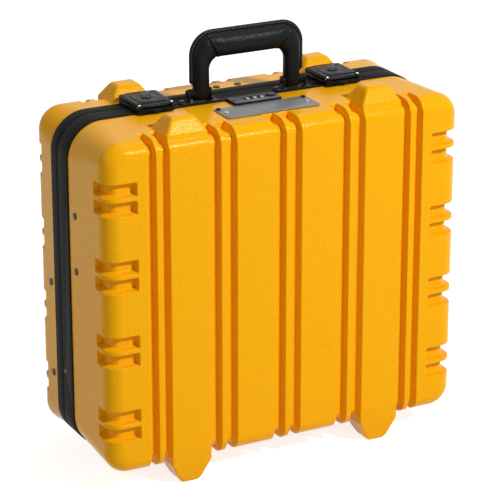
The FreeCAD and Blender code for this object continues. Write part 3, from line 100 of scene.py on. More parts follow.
SHELL_MID_Z = (SHELL_LOW_Z + SHELL_HIGH_Z) / 2
INNER_HALF_X = FRONT_HIGH[0] - CORNER_RADIUS
INNER_HALF_Z = (SHELL_HIGH_Z - SHELL_LOW_Z) / 2 - CORNER_RADIUS


class NubForm:
    """A foot or bumper: the way it points, its height over the skin, its root, half widths and depths."""

    def __init__(self, up, height, root, base_half, tip_half, base, tip, round_share):
        self.up = up
        self.height = height
        self.root = root
        self.base_half = base_half
        self.tip_half = tip_half
        self.base = base
        self.tip = tip
        self.round_share = round_share
        self.root_share = root / (root + height)

    def slope(self, inside, run):
        """Share of the height at a distance inside one side of the base: first steep, then a slant."""
        slant = self.root_share + (1 - self.root_share) * inside / run
        return np.where(inside > 0, slant, self.root_share * (1 + inside / NUB_FALL))


# Root, half widths of base and tip, depths of base and tip behind the face, and the height's rounded share.
FOOT_SIZES = (0.016, 0.025, 0.012, (0.0008, 0.0448), (0.005, 0.031), 0.2)
BUMPER_SIZES = (0.009, 0.0255, 0.0135, (0.006, 0.048), (0.017, 0.037), 0.15)
FOOT = NubForm(-1, SHELL_LOW_Z - FRONT_LOW[2], *FOOT_SIZES)
BUMPER = NubForm(1, FRONT_HIGH[2] - SHELL_HIGH_Z, *BUMPER_SIZES)


class ShellPlan:
    """Where one shell's face, frame edge and rim lie, and how far its grooves and pockets reach round."""

    def __init__(self, face_y, frame_y, rim_y, groove_wrap, pocket_reach):
        self.face_y = face_y
        self.outward = -1 if rim_y > face_y else 1
        self.frame_depth = abs(frame_y - face_y)
        self.rim_depth = abs(rim_y - face_y)
        self.groove_wrap = groove_wrap
        self.pocket_reach = pocket_reach


FRONT_PLAN = ShellPlan(FRONT_LOW[1], BASE_FRAME_LOW[1], FRONT_HIGH[1], FRONT_GROOVE_WRAP, FRONT_POCKET_REACH)
BACK_PLAN = ShellPlan(BACK_HIGH[1], LID_FRAME_HIGH[1], BACK_LOW[1], BACK_GROOVE_WRAP, BACK_POCKET_REACH)


def smooth(share):
    """Zero to one with level ends."""
    share = np.clip(share, 0.0, 1.0)
    return share * share * share * (share * (6 * share - 15) + 10)


def soft_max(first, second, width):
    """The larger of two values, with the crease rounded over a width."""
    mix = np.clip(0.5 + 0.5 * (second - first) / width, 0.0, 1.0)
    return first + (second - first) * mix + width * mix * (1 - mix)


def soft_min(first, second, width):
    return -soft_max(-first, -second, width)


def spread(low, high, marks, widest):
    """Positions from low to high that keep the marks and leave no step wider than asked."""
    kept = [low]
    for mark in sorted(marks):
        if mark - kept[-1] > MARK_GAP and high - mark > MARK_GAP:
            kept.append(mark)
    kept.append(high)
    places = []
    for start, end in zip(kept, kept[1:]):
        count = max(1, math.ceil((end - start) / widest - MERGE))
        places.extend(start + (end - start) * step / count for step in range(count))
    return np.array(places + [high])


def wall_marks(middle, width):
    """Close positions across one sloping wall."""
    return [middle + width * share for share in WALL_STEPS_SHARES]


class Skin:
    """One face of a shell's wall: the outer skin, or the plainer inner one a wall inside it."""

    def __init__(self, plan, inner):
        self.plan = plan
        self.inner = inner
        self.inset = WALL if inner else 0.0
        self.columns = self.column_lines()
        self.rows = self.row_lines()
        self.profile = self.profile_points()

    def column_lines(self):
        marks = []
        for centre, half in CHANNELS:
            for side in (-1, 1):
                marks += wall_marks(centre + side * (half + self.inset), GROOVE_WALL)
                if not self.inner:
                    marks += wall_marks(centre + side * RIB_HALF, RIB_WALL)
        if not self.inner:
            ramp = np.arange(FOOT.tip_half - 4 * FINE_STEP, BUMPER.base_half + 2 * FINE_STEP, FINE_STEP)
            marks += [side * NUB_X + turn * reach for side in (-1, 1) for turn in (-1, 1) for reach in ramp]
        return spread(-INNER_HALF_X, INNER_HALF_X, marks, WIDEST_STEP)

    def row_lines(self):
        marks = []
        for share in POCKET_ROWS_SHARES:
            for side in (-1, 1):
                row = share * POCKET_PITCH
                marks += wall_marks(row + side * self.pocket_far(), POCKET_WALL)
                if not self.inner:
                    marks += wall_marks(row + side * POCKET_RIB / 2, POCKET_WALL)
        return spread(-INNER_HALF_Z, INNER_HALF_Z, marks, WIDEST_STEP)

    def profile_points(self):
        """Reach, depth and normals from the face's inner rectangle over the edge and back to the rim."""
        radius = EDGE_RADIUS - self.inset
        flat = CORNER_RADIUS - EDGE_RADIUS
        level = spread(0.0, flat, wall_marks(self.pocket_start(), POCKET_WALL), WIDEST_STEP / 2)[:-1]
        turn = np.radians(np.arange(0, 90, EDGE_TURN_STEP))
        marks = wall_marks(self.plan.groove_wrap + self.inset, GROOVE_WALL)
        marks += wall_marks(self.plan.pocket_reach + self.inset, POCKET_WALL)
        marks.append(self.plan.frame_depth)
        if not self.inner:
            marks += list(np.arange(EDGE_RADIUS, BUMPER.base[1] + FINE_STEP, FINE_STEP))
        wall = spread(EDGE_RADIUS, self.plan.rim_depth, marks, WIDEST_STEP)
        reach = np.concatenate([level, flat + radius * np.sin(turn), np.full(len(wall), flat + radius)])
        depth = np.concatenate([np.full(len(level), self.inset), EDGE_RADIUS - radius * np.cos(turn), wall])
        out = np.concatenate([np.zeros(len(level)), np.sin(turn), np.ones(len(wall))])
        forward = np.concatenate([np.ones(len(level)), np.cos(turn), np.zeros(len(wall))])
        drafted = reach * (1 - DRAFT / CORNER_RADIUS * np.clip(1 - depth / self.plan.frame_depth, 0, 1))
        return {"reach": drafted, "depth": depth, "out": out, "forward": forward}

    def channel_share(self, x):
        """How deep the channels are across the face, from 0 to 1."""
        share = np.zeros_like(x)
        for centre, half in CHANNELS:
            away = np.abs(x - centre)
            dip = 1 - smooth((away - half - self.inset) / GROOVE_WALL + 0.5)
            if not self.inner:
                dip = dip * smooth((away - RIB_HALF) / RIB_WALL + 0.5)
            share = np.maximum(share, dip)
        return share

    def pocket_share(self, z):
        share = np.zeros_like(z)
        for row in POCKET_ROWS_SHARES:
            away = np.abs(z - row * POCKET_PITCH)
            dip = 1 - smooth((away - self.pocket_far()) / POCKET_WALL + 0.5)
            if not self.inner:
                dip = dip * smooth((away - POCKET_RIB / 2) / POCKET_WALL + 0.5)
            share = np.maximum(share, dip)
        return share

    def pocket_far(self):
        """How far a row of pockets spreads up and down; never past the straight part of the side."""
        room = INNER_HALF_Z - POCKET_ROWS_SHARES[-1] * POCKET_PITCH - POCKET_WALL / 2
        return min(POCKET_RIB / 2 + POCKET_HEIGHT + self.inset, room)

    def pocket_start(self):
        """Where the pockets begin on the face; never so near the middle panel that it would dip too."""
        return max(CORNER_RADIUS - POCKET_FACE_REACH - self.inset, POCKET_WALL / 2)

    def groove_end(self):
        return 1 - smooth((self.profile["depth"] - self.plan.groove_wrap - self.inset) / GROOVE_WALL + 0.5)

    def pocket_end(self):
        near = smooth((self.profile["reach"] - self.pocket_start()) / POCKET_WALL + 0.5)
        far = 1 - smooth((self.profile["depth"] - self.plan.pocket_reach - self.inset) / POCKET_WALL + 0.5)
        return near * far

    def nub_reach(self, form):
        """How far a foot or bumper stands out at each column and depth."""
        depth = self.profile["depth"][None, :]
        away = np.abs(np.abs(self.columns) - NUB_X)[:, None]
        sides = form.slope(form.base_half - away, form.base_half - form.tip_half) + 0 * depth
        front = form.slope(depth - form.base[0], form.tip[0] - form.base[0])
        back = form.slope(form.base[1] - depth, form.base[1] - form.tip[1])
        share = soft_min(soft_min(front, back, form.round_share), sides, form.round_share)
        share = soft_min(share, np.ones_like(share), form.round_share)
        reach = CORNER_RADIUS - form.root + (form.height + form.root) * share
        return np.where(depth > form.base[0], reach, -CORNER_RADIUS)

    def corner_spread(self, turn, depth):
        """How far the corner stands out of the rim's rounder corner, as it sharpens towards the face."""
        share = np.clip(depth / self.plan.frame_depth, 0.0, 1.0)
        radius = FACE_CORNER_RADIUS + (CORNER_RADIUS - FACE_CORNER_RADIUS) * share
        centre = CORNER_RADIUS - radius
        along, across = np.cos(turn), np.sin(turn)
        lean = np.maximum(radius ** 2 - (centre * (along - across)) ** 2, 0.0)
        away = centre * (along + across) + np.sqrt(lean)
        flat = CORNER_RADIUS / np.maximum(along, across)
        beside = np.minimum(along, across) / np.maximum(along, across) * CORNER_RADIUS <= centre
        return np.where(beside, flat, away) / CORNER_RADIUS

    def y_of(self, depth):
        return self.plan.face_y - self.plan.outward * depth

    def strip(self, dip):
        """Reach and depth over a strip, with a dip of the given depth pressed in along the normal."""
        reach = self.profile["reach"] - dip * self.profile["out"]
        depth = self.profile["depth"] + dip * self.profile["forward"]
        return reach, depth

    def patches(self):
        """Grids of points that meet along shared edges and cover the whole skin."""
        grids = []
        dips = GROOVE_DEPTH * self.channel_share(self.columns)
        x, z = np.meshgrid(self.columns, self.rows, indexing="ij")
        y = self.y_of(self.inset + dips[:, None] + 0 * z)
        grids.append(np.stack([x, y, z + SHELL_MID_Z], axis=-1))
        for form in (FOOT, BUMPER):
            reach, depth = self.strip(dips[:, None] * self.groove_end()[None, :])
            if not self.inner:
                reach = soft_max(reach, self.nub_reach(form), NUB_BLEND)
            x = self.columns[:, None] + 0 * reach
            z = SHELL_MID_Z + form.up * (INNER_HALF_Z + reach)
            grids.append(np.stack([x, self.y_of(depth), z], axis=-1))
        pockets = GROOVE_DEPTH * self.pocket_share(self.rows)[:, None] * self.pocket_end()[None, :]
        for side in (-1, 1):
            reach, depth = self.strip(pockets)
            z = self.rows[:, None] + SHELL_MID_Z + 0 * reach
            grids.append(np.stack([side * (INNER_HALF_X + reach), self.y_of(depth), z], axis=-1))
        turn = np.radians(np.linspace(0, 90, CORNER_STEPS + 1))[:, None]
        reach, depth = (self.profile[key][None, :] for key in ("reach", "depth"))
        away = reach * self.corner_spread(turn, depth)
        for side in (-1, 1):
            for up in (-1, 1):
                x = side * (INNER_HALF_X + np.cos(turn) * away)
                z = SHELL_MID_Z + up * (INNER_HALF_Z + np.sin(turn) * away)
                grids.append(np.stack([x, self.y_of(depth) + 0 * x, z], axis=-1))
        return grids


def mesh_from_grids(name, grids):
    """One mesh of quads from grids of points, not yet welded where they meet."""
    points, faces, start = [], [], 0
    for grid in grids:
        rows, columns = grid.shape[:2]
        points.append(grid.reshape(-1, 3))
        index = start + np.arange(rows * columns).reshape(rows, columns)
        quads = np.stack([index[:-1, :-1], index[1:, :-1], index[1:, 1:], index[:-1, 1:]], axis=-1)
        faces.append(quads.reshape(-1, 4))
        start += rows * columns
    mesh = bpy.data.meshes.new(name)
    mesh.from_pydata(np.concatenate(points).tolist(), [], np.concatenate(faces).tolist())
    return mesh


def add_piece(name, mesh, material):
    piece = bpy.data.objects.new(name, mesh)
    bpy.context.scene.collection.objects.link(piece)
    mesh.materials.append(material)
    return piece


def close_mesh(mesh, join_edges):
    """Weld a mesh's grids, join its open edges, and turn all faces outwards and smooth."""
    work = bmesh.new()
    work.from_mesh(mesh)
    bmesh.ops.remove_doubles(work, verts=work.verts, dist=MERGE)
    join_edges(work, edges=[edge for edge in work.edges if edge.is_boundary])
    bmesh.ops.recalc_face_normals(work, faces=work.faces)
    for face in work.faces:
        face.smooth = True
    work.to_mesh(mesh)
    work.free()


def shell_piece(name, node, plan, body, material):
    """A closed shell: outer skin, inner skin and the rim between them."""
    mesh = mesh_from_grids(name, Skin(plan, inner=False).patches() + Skin(plan, inner=True).patches())
    close_mesh(mesh, bmesh.ops.bridge_loops)
    piece = add_piece(name, mesh, material)
    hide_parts(node)
    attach(piece, body)


# The leather handle: a padded tube with a stitched flange round its outside and a sleeve on the grip.

LEG_OUT_X = GRIP_HIGH[0]
LEG_WIDTH = 0.0245
LEG_DEPTH_HALF = 0.009
GRIP_TOP_Z = GRIP_HIGH[2]
GRIP_HEIGHT = 0.033
GRIP_DEPTH_HALF = 0.0128
OUTER_BEND = 0.029
INNER_BEND = 0.015
FLANGE = 0.0052
FLANGE_HALF = 0.0021
FLANGE_HALF_SHARE = 0.5
FLANGE_START = 0.0085
FLANGE_FADE = 0.006
FLANGE_PAST = 0.003
FLANGE_END_POINTS = 9
FLANGE_STEPS_SHARES = (0.35, 0.7)
FLANGE_LOW_Z = PIVOT_Z + FLANGE_START
SEAM_SINK = 0.0007
SEAM_WIDEST_SHARE = 0.9
LEG_END_ANGLES = (88, 78, 66, 52, 36, 18, 0)
LEG_START = 0.002
LEG_STEP = 0.001
LEG_STATIONS = 12
BEND_SWELL = 0.0012
CREASE_SINK = 0.0011
CREASE_ANGLE = 2.2
SLEEVE_STEP = 0.0011
SLEEVE_ANGLE = 66.0
SLEEVE_EDGE_ANGLE = 7.0
SLEEVE_SWELL_ANGLE = 40.0
BEND_RUNS = ((0, 58, 4.0), (58, 80, 1.0), (80, 91, 2.0))
GRIP_STATIONS = 14
GRIP_SWELL_ANGLE = 26
TUBE_POWER = 0.86
TUBE_POINTS = 46
STITCH_PITCH = 0.0040
STITCH_LENGTH = 0.0027
STITCH_RADIUS = 0.0006
STITCH_INSET = 0.0024
STITCH_SEGMENTS = 8
STITCH_RINGS = 6


class Station:
    """One cross section of the handle: its outer and inner point, half depth and how much flange it has."""

    def __init__(self, outer, inner, half_depth, flange):
        self.outer = np.array(outer)
        self.inner = np.array(inner)
        self.half_depth = half_depth
        self.flange = flange

    def points(self):
        """The closed section in the handle's own plane and depth."""
        along = self.outer - self.inner
        width = np.linalg.norm(along)
        along = along / width
        flange = FLANGE * self.flange
        width = width - FLANGE + flange
        half = (width - flange) / 2
        thick = min(FLANGE_HALF, self.half_depth * FLANGE_HALF_SHARE)
        open_angle = math.asin(min(SEAM_WIDEST_SHARE, (thick + 2 * SEAM_SINK) / self.half_depth))
        angles = np.linspace(open_angle, 2 * math.pi - open_angle, TUBE_POINTS)
        lean = np.sign(np.sin(angles)) * np.abs(np.sin(angles)) ** TUBE_POWER
        tube = np.stack([half + half * np.cos(angles), self.half_depth * lean], axis=-1)
        joint = half + half * math.cos(open_angle)
        tip = width - thick * self.flange
        turns = np.linspace(-math.pi / 2, math.pi / 2, FLANGE_END_POINTS)
        round_end = np.stack([tip + thick * self.flange * np.cos(turns), thick * np.sin(turns)], axis=-1)
        seam = thick - SEAM_SINK * self.flange
        upper = [(tip - (tip - joint) * share, thick) for share in FLANGE_STEPS_SHARES]
        upper.append((joint + SEAM_SINK, seam))
        lower = [(u, -v) for u, v in upper[::-1]]
        section = np.concatenate([round_end, upper, tube, lower])
        flat = self.inner[None, :] + section[:, :1] * along[None, :]
        return np.stack([flat[:, 0], PIVOT_Y + section[:, 1], flat[:, 1]], axis=-1)


def leg_stations():
    """Sections up one leg, from its round end to where the bend starts."""
    inner_x = LEG_OUT_X - LEG_WIDTH
    stations = []
    for angle in np.radians(LEG_END_ANGLES):
        z = PIVOT_Z - LEG_DEPTH_HALF * math.sin(angle)
        half = LEG_DEPTH_HALF * math.cos(angle)
        stations.append(Station((LEG_OUT_X, z), (inner_x, z), half, 0.0))
    rises = np.arange(PIVOT_Z + LEG_START, FLANGE_LOW_Z + FLANGE_FADE + FLANGE_PAST, LEG_STEP)
    for z in rises:
        fade = float(smooth((z - FLANGE_LOW_Z) / FLANGE_FADE))
        stations.append(Station((LEG_OUT_X, z), (inner_x, z), LEG_DEPTH_HALF, fade))
    last = rises[-1]
    outer_end, inner_end = GRIP_TOP_Z - OUTER_BEND, GRIP_TOP_Z - GRIP_HEIGHT - INNER_BEND
    for share in np.linspace(0, 1, LEG_STATIONS)[1:-1]:
        outer_z, inner_z = last + (outer_end - last) * share, last + (inner_end - last) * share
        stations.append(Station((LEG_OUT_X, outer_z), (inner_x, inner_z), LEG_DEPTH_HALF, 1.0))
    return stations


def bend_depth(angle):
    """Half depth and inward growth round the bend: a slow swell, a crease and the sleeve's step."""
    past = angle - SLEEVE_ANGLE
    swell = LEG_DEPTH_HALF + BEND_SWELL * float(smooth(angle / SLEEVE_ANGLE))
    crease = CREASE_SINK * math.exp(-(past / CREASE_ANGLE) ** 2)
    sleeve = float(smooth(past / SLEEVE_EDGE_ANGLE))
    full = swell + (GRIP_DEPTH_HALF - SLEEVE_STEP - swell) * float(smooth(past / SLEEVE_SWELL_ANGLE))
    return full + SLEEVE_STEP * sleeve - crease, SLEEVE_STEP * sleeve - crease


def bend_stations():
    outer_hub = np.array([LEG_OUT_X - OUTER_BEND, GRIP_TOP_Z - OUTER_BEND])
    inner_x = LEG_OUT_X - LEG_WIDTH - INNER_BEND
    inner_hub = np.array([inner_x, GRIP_TOP_Z - GRIP_HEIGHT + SLEEVE_STEP - INNER_BEND])
    stations = []
    for angle in np.concatenate([np.arange(*run) for run in BEND_RUNS]):
        way = np.array([math.cos(math.radians(angle)), math.sin(math.radians(angle))])
        half_depth, growth = bend_depth(angle)
        inner = inner_hub + way * (INNER_BEND - growth)
        stations.append(Station(outer_hub + way * OUTER_BEND, inner, half_depth, 1.0))
    return stations


def grip_stations():
    """Sections from the end of the bend to the middle of the grip."""
    outer_x, inner_x = LEG_OUT_X - OUTER_BEND, LEG_OUT_X - LEG_WIDTH - INNER_BEND
    stations = []
    for share in np.linspace(1, 0, GRIP_STATIONS)[1:]:
        angle = 90 + GRIP_SWELL_ANGLE * (1 - share)
        half_depth = bend_depth(angle)[0]
        outer, inner = (outer_x * share, GRIP_TOP_Z), (inner_x * share, GRIP_TOP_Z - GRIP_HEIGHT)
        stations.append(Station(outer, inner, half_depth, 1.0))
    return stations


def handle_cover(material):
    """The leather over both legs and the grip; gives back the sections of one half."""
    half = leg_stations() + bend_stations() + grip_stations()
    rings = [station.points() for station in half]
    mirrored = [ring * np.array([-1, 1, 1]) for ring in rings[-2::-1]]
    grid = np.stack(rings + mirrored)
    closed = np.concatenate([grid, grid[:, :1]], axis=1)
    mesh = mesh_from_grids("handle_cover", [closed])
    close_mesh(mesh, bmesh.ops.holes_fill)
    piece = add_piece("handle_cover", mesh, material)
    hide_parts("handle_grip")
    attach(piece, "handle")
    return half


def stitch_places(half):
    """Points along the middle of the flange, a pitch apart, with the way the seam runs."""
    line = []
    for station in half:
        if station.flange < 1.0:
            continue
        along = station.outer - station.inner
        line.append(station.outer - along / np.linalg.norm(along) * STITCH_INSET)
    line = np.array(line + [point * np.array([-1, 1]) for point in line[-2::-1]])
    steps = np.linalg.norm(np.diff(line, axis=0), axis=1)
    run = np.concatenate([[0.0], np.cumsum(steps)])
    places = np.arange(STITCH_PITCH / 2, run[-1], STITCH_PITCH)
    points = np.stack([np.interp(places, run, line[:, axis]) for axis in range(2)], axis=-1)
    ahead = np.stack([np.interp(places + STITCH_LENGTH, run, line[:, axis]) for axis in range(2)], axis=-1)
    ways = ahead - points
    return points, ways / np.maximum(np.linalg.norm(ways, axis=1)[:, None], MERGE)


def add_ball(work, segments, rings, matrix):
    bmesh.ops.create_uvsphere(work, u_segments=segments, v_segments=rings, radius=1.0, matrix=matrix)


def handle_stitches(half, material):
    """A row of thread stitches on both faces of the flange."""
    points, ways = stitch_places(half)
    work = bmesh.new()
    for side in (-1, 1):
        for point, way in zip(points, ways):
            turn = Matrix.Rotation(-math.atan2(way[1], way[0]), 4, "Y")
            place = Matrix.Translation((point[0], PIVOT_Y + side * FLANGE_HALF, point[1]))
            shape = Matrix.Diagonal((STITCH_LENGTH / 2, STITCH_RADIUS, STITCH_RADIUS, 1.0))
            add_ball(work, STITCH_SEGMENTS, STITCH_RINGS, place @ turn @ shape)
    for face in work.faces:
        face.smooth = True
    mesh = bpy.data.meshes.new("handle_stitches")
    work.to_mesh(mesh)
    work.free()
    piece = add_piece("handle_stitches", mesh, material)
    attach(piece, "handle")


# Materials.

NOISE_SPAN = (0.3, 0.7)
CELL_SPAN = (0.0, 0.7)
BRUSH_STRETCH = (0.5, 24.0, 24.0)
BRUSH_DEPTH = 0.00005


class Look:
    """A node material with a Principled shader and short ways to add texture nodes."""

    def __init__(self, name, color, roughness, metallic=0.0, specular=0.5):
        self.material = bpy.data.materials.new(name)
        self.material.use_nodes = True
        self.tree = self.material.node_tree
        self.shader = self.tree.nodes["Principled BSDF"]
        self.shader.inputs["Base Color"].default_value = (*color, 1.0)
        self.shader.inputs["Roughness"].default_value = roughness
        self.shader.inputs["Metallic"].default_value = metallic
        self.shader.inputs["Specular IOR Level"].default_value = specular
        self.place = self.tree.nodes.new("ShaderNodeTexCoord").outputs["Object"]

    def link(self, source, target):
        self.tree.links.new(source, target)

    def noise(self, scale, detail=2.0, roughness=0.5, stretch=None):
        place = self.place
        if stretch:
            mapping = self.tree.nodes.new("ShaderNodeMapping")
            mapping.inputs["Scale"].default_value = stretch
            self.link(place, mapping.inputs["Vector"])
            place = mapping.outputs["Vector"]
        node = self.tree.nodes.new("ShaderNodeTexNoise")
        node.inputs["Scale"].default_value = scale
        node.inputs["Detail"].default_value = detail
        node.inputs["Roughness"].default_value = roughness
        self.link(place, node.inputs["Vector"])
        return node.outputs["Fac"]

    def cells(self, scale, feature="F1"):
        node = self.tree.nodes.new("ShaderNodeTexVoronoi")
        node.feature = feature
        node.inputs["Scale"].default_value = scale
        self.link(self.place, node.inputs["Vector"])
        return node.outputs["Distance"]

    def ramp(self, value, low, high, from_low=0.0, from_high=1.0):
        node = self.tree.nodes.new("ShaderNodeMapRange")
        node.inputs["From Min"].default_value = from_low
        node.inputs["From Max"].default_value = from_high
        node.inputs["To Min"].default_value = low
        node.inputs["To Max"].default_value = high
        self.link(value, node.inputs["Value"])
        return node.outputs["Result"]

    def mix(self, share, first, second):
        node = self.tree.nodes.new("ShaderNodeMix")
        node.data_type = "RGBA"
        node.inputs["A"].default_value = (*first, 1.0)
        node.inputs["B"].default_value = (*second, 1.0)
        self.link(share, node.inputs["Factor"])
        return node.outputs["Result"]

    def bump(self, height, distance, strength, under=None):
        node = self.tree.nodes.new("ShaderNodeBump")
        node.inputs["Distance"].default_value = distance
        node.inputs["Strength"].default_value = strength
        self.link(height, node.inputs["Height"])
        if under is not None:
            self.link(under, node.inputs["Normal"])
        return node.outputs["Normal"]

    def set(self, socket, source):
        self.link(source, self.shader.inputs[socket])


def yellow_plastic():
    look = Look("yellow_plastic", (0.93, 0.425, 0.003), 0.2, specular=0.09)
    look.shader.inputs["Specular Tint"].default_value = (1.0, 0.80, 0.42, 1.0)
    grain = look.noise(scale=420.0, detail=3.0, roughness=0.6)
    tone = look.ramp(grain, 0.0, 1.0, *NOISE_SPAN)
    look.set("Base Color", look.mix(tone, (0.88, 0.395, 0.002), (0.98, 0.465, 0.004)))
    look.set("Roughness", look.ramp(grain, 0.16, 0.26, *NOISE_SPAN))
    coarse = look.bump(look.noise(scale=330.0), distance=0.0006, strength=0.36)
    look.set("Normal", look.bump(look.cells(scale=950.0), distance=0.00012, strength=0.2, under=coarse))
    return look.material


def black_frame():
    look = Look("black_frame", (0.010, 0.010, 0.009), 0.6, specular=0.04)
    lines = look.noise(scale=60.0, detail=4.0, roughness=0.6, stretch=(0.4, 40.0, 0.4))
    look.set("Roughness", look.ramp(lines, 0.46, 0.66, *NOISE_SPAN))
    tone = look.ramp(lines, 0.0, 1.0, *NOISE_SPAN)
    look.set("Base Color", look.mix(tone, (0.006, 0.006, 0.006), (0.015, 0.015, 0.014)))
    look.set("Normal", look.bump(lines, distance=0.0003, strength=0.35))
    return look.material


def black_hardware():
    look = Look("black_hardware", (0.006, 0.006, 0.0065), 0.36, specular=0.14)
    look.set("Roughness", look.ramp(look.noise(scale=300.0), 0.30, 0.48, *NOISE_SPAN))
    look.set("Normal", look.bump(look.noise(scale=700.0), distance=0.0001, strength=0.25))
    return look.material


def black_leather():
    look = Look("black_leather", (0.0035, 0.004, 0.0045), 0.34, specular=0.12)
    cells = look.cells(scale=640.0, feature="SMOOTH_F1")
    look.set("Roughness", look.ramp(cells, 0.24, 0.42, *CELL_SPAN))
    soft = look.bump(look.noise(scale=90.0, detail=3.0), distance=0.0006, strength=0.35)
    look.set("Normal", look.bump(cells, distance=0.0005, strength=0.75, under=soft))
    return look.material


def brushed(name, color, metallic, scale, relief):
    """Metal with fine lines along X, pressed in by a share of the lines' depth."""
    look = Look(name, color, 0.5, metallic=metallic)
    lines = look.noise(scale=scale, detail=3.0, roughness=0.6, stretch=BRUSH_STRETCH)
    look.set("Roughness", look.ramp(lines, 0.42, 0.60, *NOISE_SPAN))
    if relief:
        look.set("Normal", look.bump(lines, distance=BRUSH_DEPTH, strength=relief))
    return look.material


def speckled(name, color, roughness, span, scale, detail=2.0, **surface):
    """A plain finish whose roughness wanders over a span."""
    look = Look(name, color, roughness, **surface)
    look.set("Roughness", look.ramp(look.noise(scale=scale, detail=detail), *span, *NOISE_SPAN))
    return look.material


MATERIALS = {
    "yellow_plastic": yellow_plastic(),
    "black_frame": black_frame(),
    "black_hardware": black_hardware(),
    "black_leather": black_leather(),
    "brushed_plate": brushed("brushed_plate", (0.24, 0.24, 0.245), 0.75, scale=120.0, relief=0.4),
    "plated_steel": speckled(
        "plated_steel", (0.62, 0.62, 0.61), 0.28, (0.20, 0.38), 180.0, detail=3.0, metallic=1.0
    ),
    "dark_rivet": speckled("dark_rivet", (0.05, 0.042, 0.034), 0.40, (0.32, 0.52), 400.0, metallic=0.7),
    "dial_metal": speckled("dial_metal", (0.012, 0.012, 0.012), 0.38, (0.30, 0.48), 500.0, specular=0.3),
    "thread": speckled("thread", (0.045, 0.046, 0.048), 0.42, (0.34, 0.55), 900.0, specular=0.4),
    "lock_strip": brushed("lock_strip", (0.16, 0.16, 0.165), 0.4, scale=140.0, relief=0.0),
    "digit_paint": speckled("digit_paint", (0.80, 0.80, 0.78), 0.5, (0.42, 0.60), 900.0, specular=0.3),
}


# Finish of the solids that stay.

BEVEL_WIDTH = 0.0005
BEVEL_SEGMENTS = 2
SMOOTH_ANGLE = math.radians(32)


def dress_node(node, material):
    """Give a carried-over solid its finish, smooth rounds and broken edges."""
    thing = NODES[node]
    mesh = thing.data
    mesh.materials.clear()
    mesh.materials.append(material)
    for polygon in mesh.polygons:
        polygon.use_smooth = True
    weld = thing.modifiers.new("weld", "WELD")
    weld.merge_threshold = MERGE
    bevel = thing.modifiers.new("edges", "BEVEL")
    bevel.width = BEVEL_WIDTH
    bevel.segments = BEVEL_SEGMENTS
    bevel.limit_method = "ANGLE"
    bevel.angle_limit = SMOOTH_ANGLE
    bevel.harden_normals = True


for part in frame["record"]["subparts"]:
    dress_node(part["node"], MATERIALS[part["material_slot"]])

shell_piece("front_shell_skin", "front_shell", FRONT_PLAN, "base", MATERIALS["yellow_plastic"])
shell_piece("back_shell_skin", "back_shell", BACK_PLAN, "lid", MATERIALS["yellow_plastic"])
handle_stitches(handle_cover(MATERIALS["black_leather"]), MATERIALS["thread"])


# Small fittings on the latches and the lock.

PANEL_HALF = 0.0155
STRIP_GAP = 0.0007
STRIP_EDGE = 0.0009
STRIP_FRONT = 0.0010
STRIP_BACK = 0.0425
STRIP_RISE = 0.0007
PANEL_RISE = 0.001
RING_RADIUS = 0.0063
RING_THICKNESS = 0.0005
RING_POINTS = 49
RING_SECTION_POINTS = 13
CAP_RADIUS = 0.0013
CAP_LENGTH = 0.0036
CAP_SEGMENTS = 16
CAP_RINGS = 10
LUG_WIDTH = 0.0045
BUSH_RADIUS = 0.0057
BUSH_REACH = 0.0002
BUSH_SEGMENTS = 40
INLAY_SIDE = 0.0008
INLAY_FRONT = 0.0005
INLAY_DEPTH = 0.0062
INLAY_RISE = 0.0002
FITTING_EDGE = 0.0003
ROUND_PROFILE_SHARE = 0.5
DIGIT_SIZE = 0.0064
DIGIT_STRETCH_SHARE = 1.3
DIGIT_RISE = 0.00005
DIGIT_SWELL = 0.00011
DIGIT_COUNT = 10
DIGIT_CURVE_STEPS = 3
DIGIT_TURN = math.radians(-14)


def fitting(name, work, body, material, edge=0.0):
    """A small piece from a bmesh: flat faces with rounded edges where an edge is asked for, else smooth."""
    if edge:
        sharp = [line for line in work.edges if line.calc_face_angle(0.0) > SMOOTH_ANGLE]
        form = {"segments": BEVEL_SEGMENTS, "profile": ROUND_PROFILE_SHARE, "affect": "EDGES"}
        bmesh.ops.bevel(work, geom=sharp, offset=edge, **form)
    for face in work.faces:
        face.smooth = len(face.verts) == 4 and not edge
    mesh = bpy.data.meshes.new(name)
    work.to_mesh(mesh)
    work.free()
    piece = add_piece(name, mesh, material)
    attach(piece, body)


def add_block(work, low, high):
    middle = [(a + b) / 2 for a, b in zip(low, high)]
    size = Matrix.Diagonal((*[b - a for a, b in zip(low, high)], 1.0))
    bmesh.ops.create_cube(work, size=1.0, matrix=Matrix.Translation(middle) @ size)


def latch_strips(word):
    """The raised strips along both sides of a latch lever."""
    low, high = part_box(f"{word}_latch_lever")
    middle = (low[0] + high[0]) / 2
    half = (high[0] - low[0]) / 2
    shelf = high[2] - PANEL_RISE
    work = bmesh.new()
    for side in (-1, 1):
        ends = sorted((middle + side * (PANEL_HALF + STRIP_GAP), middle + side * (half - STRIP_EDGE)))
        add_block(work, (ends[0], STRIP_FRONT, shelf), (ends[1], STRIP_BACK, shelf + STRIP_RISE))
    material = MATERIALS["black_hardware"]
    fitting(f"{word}_latch_strips", work, f"{word}_lever", material, FITTING_EDGE)


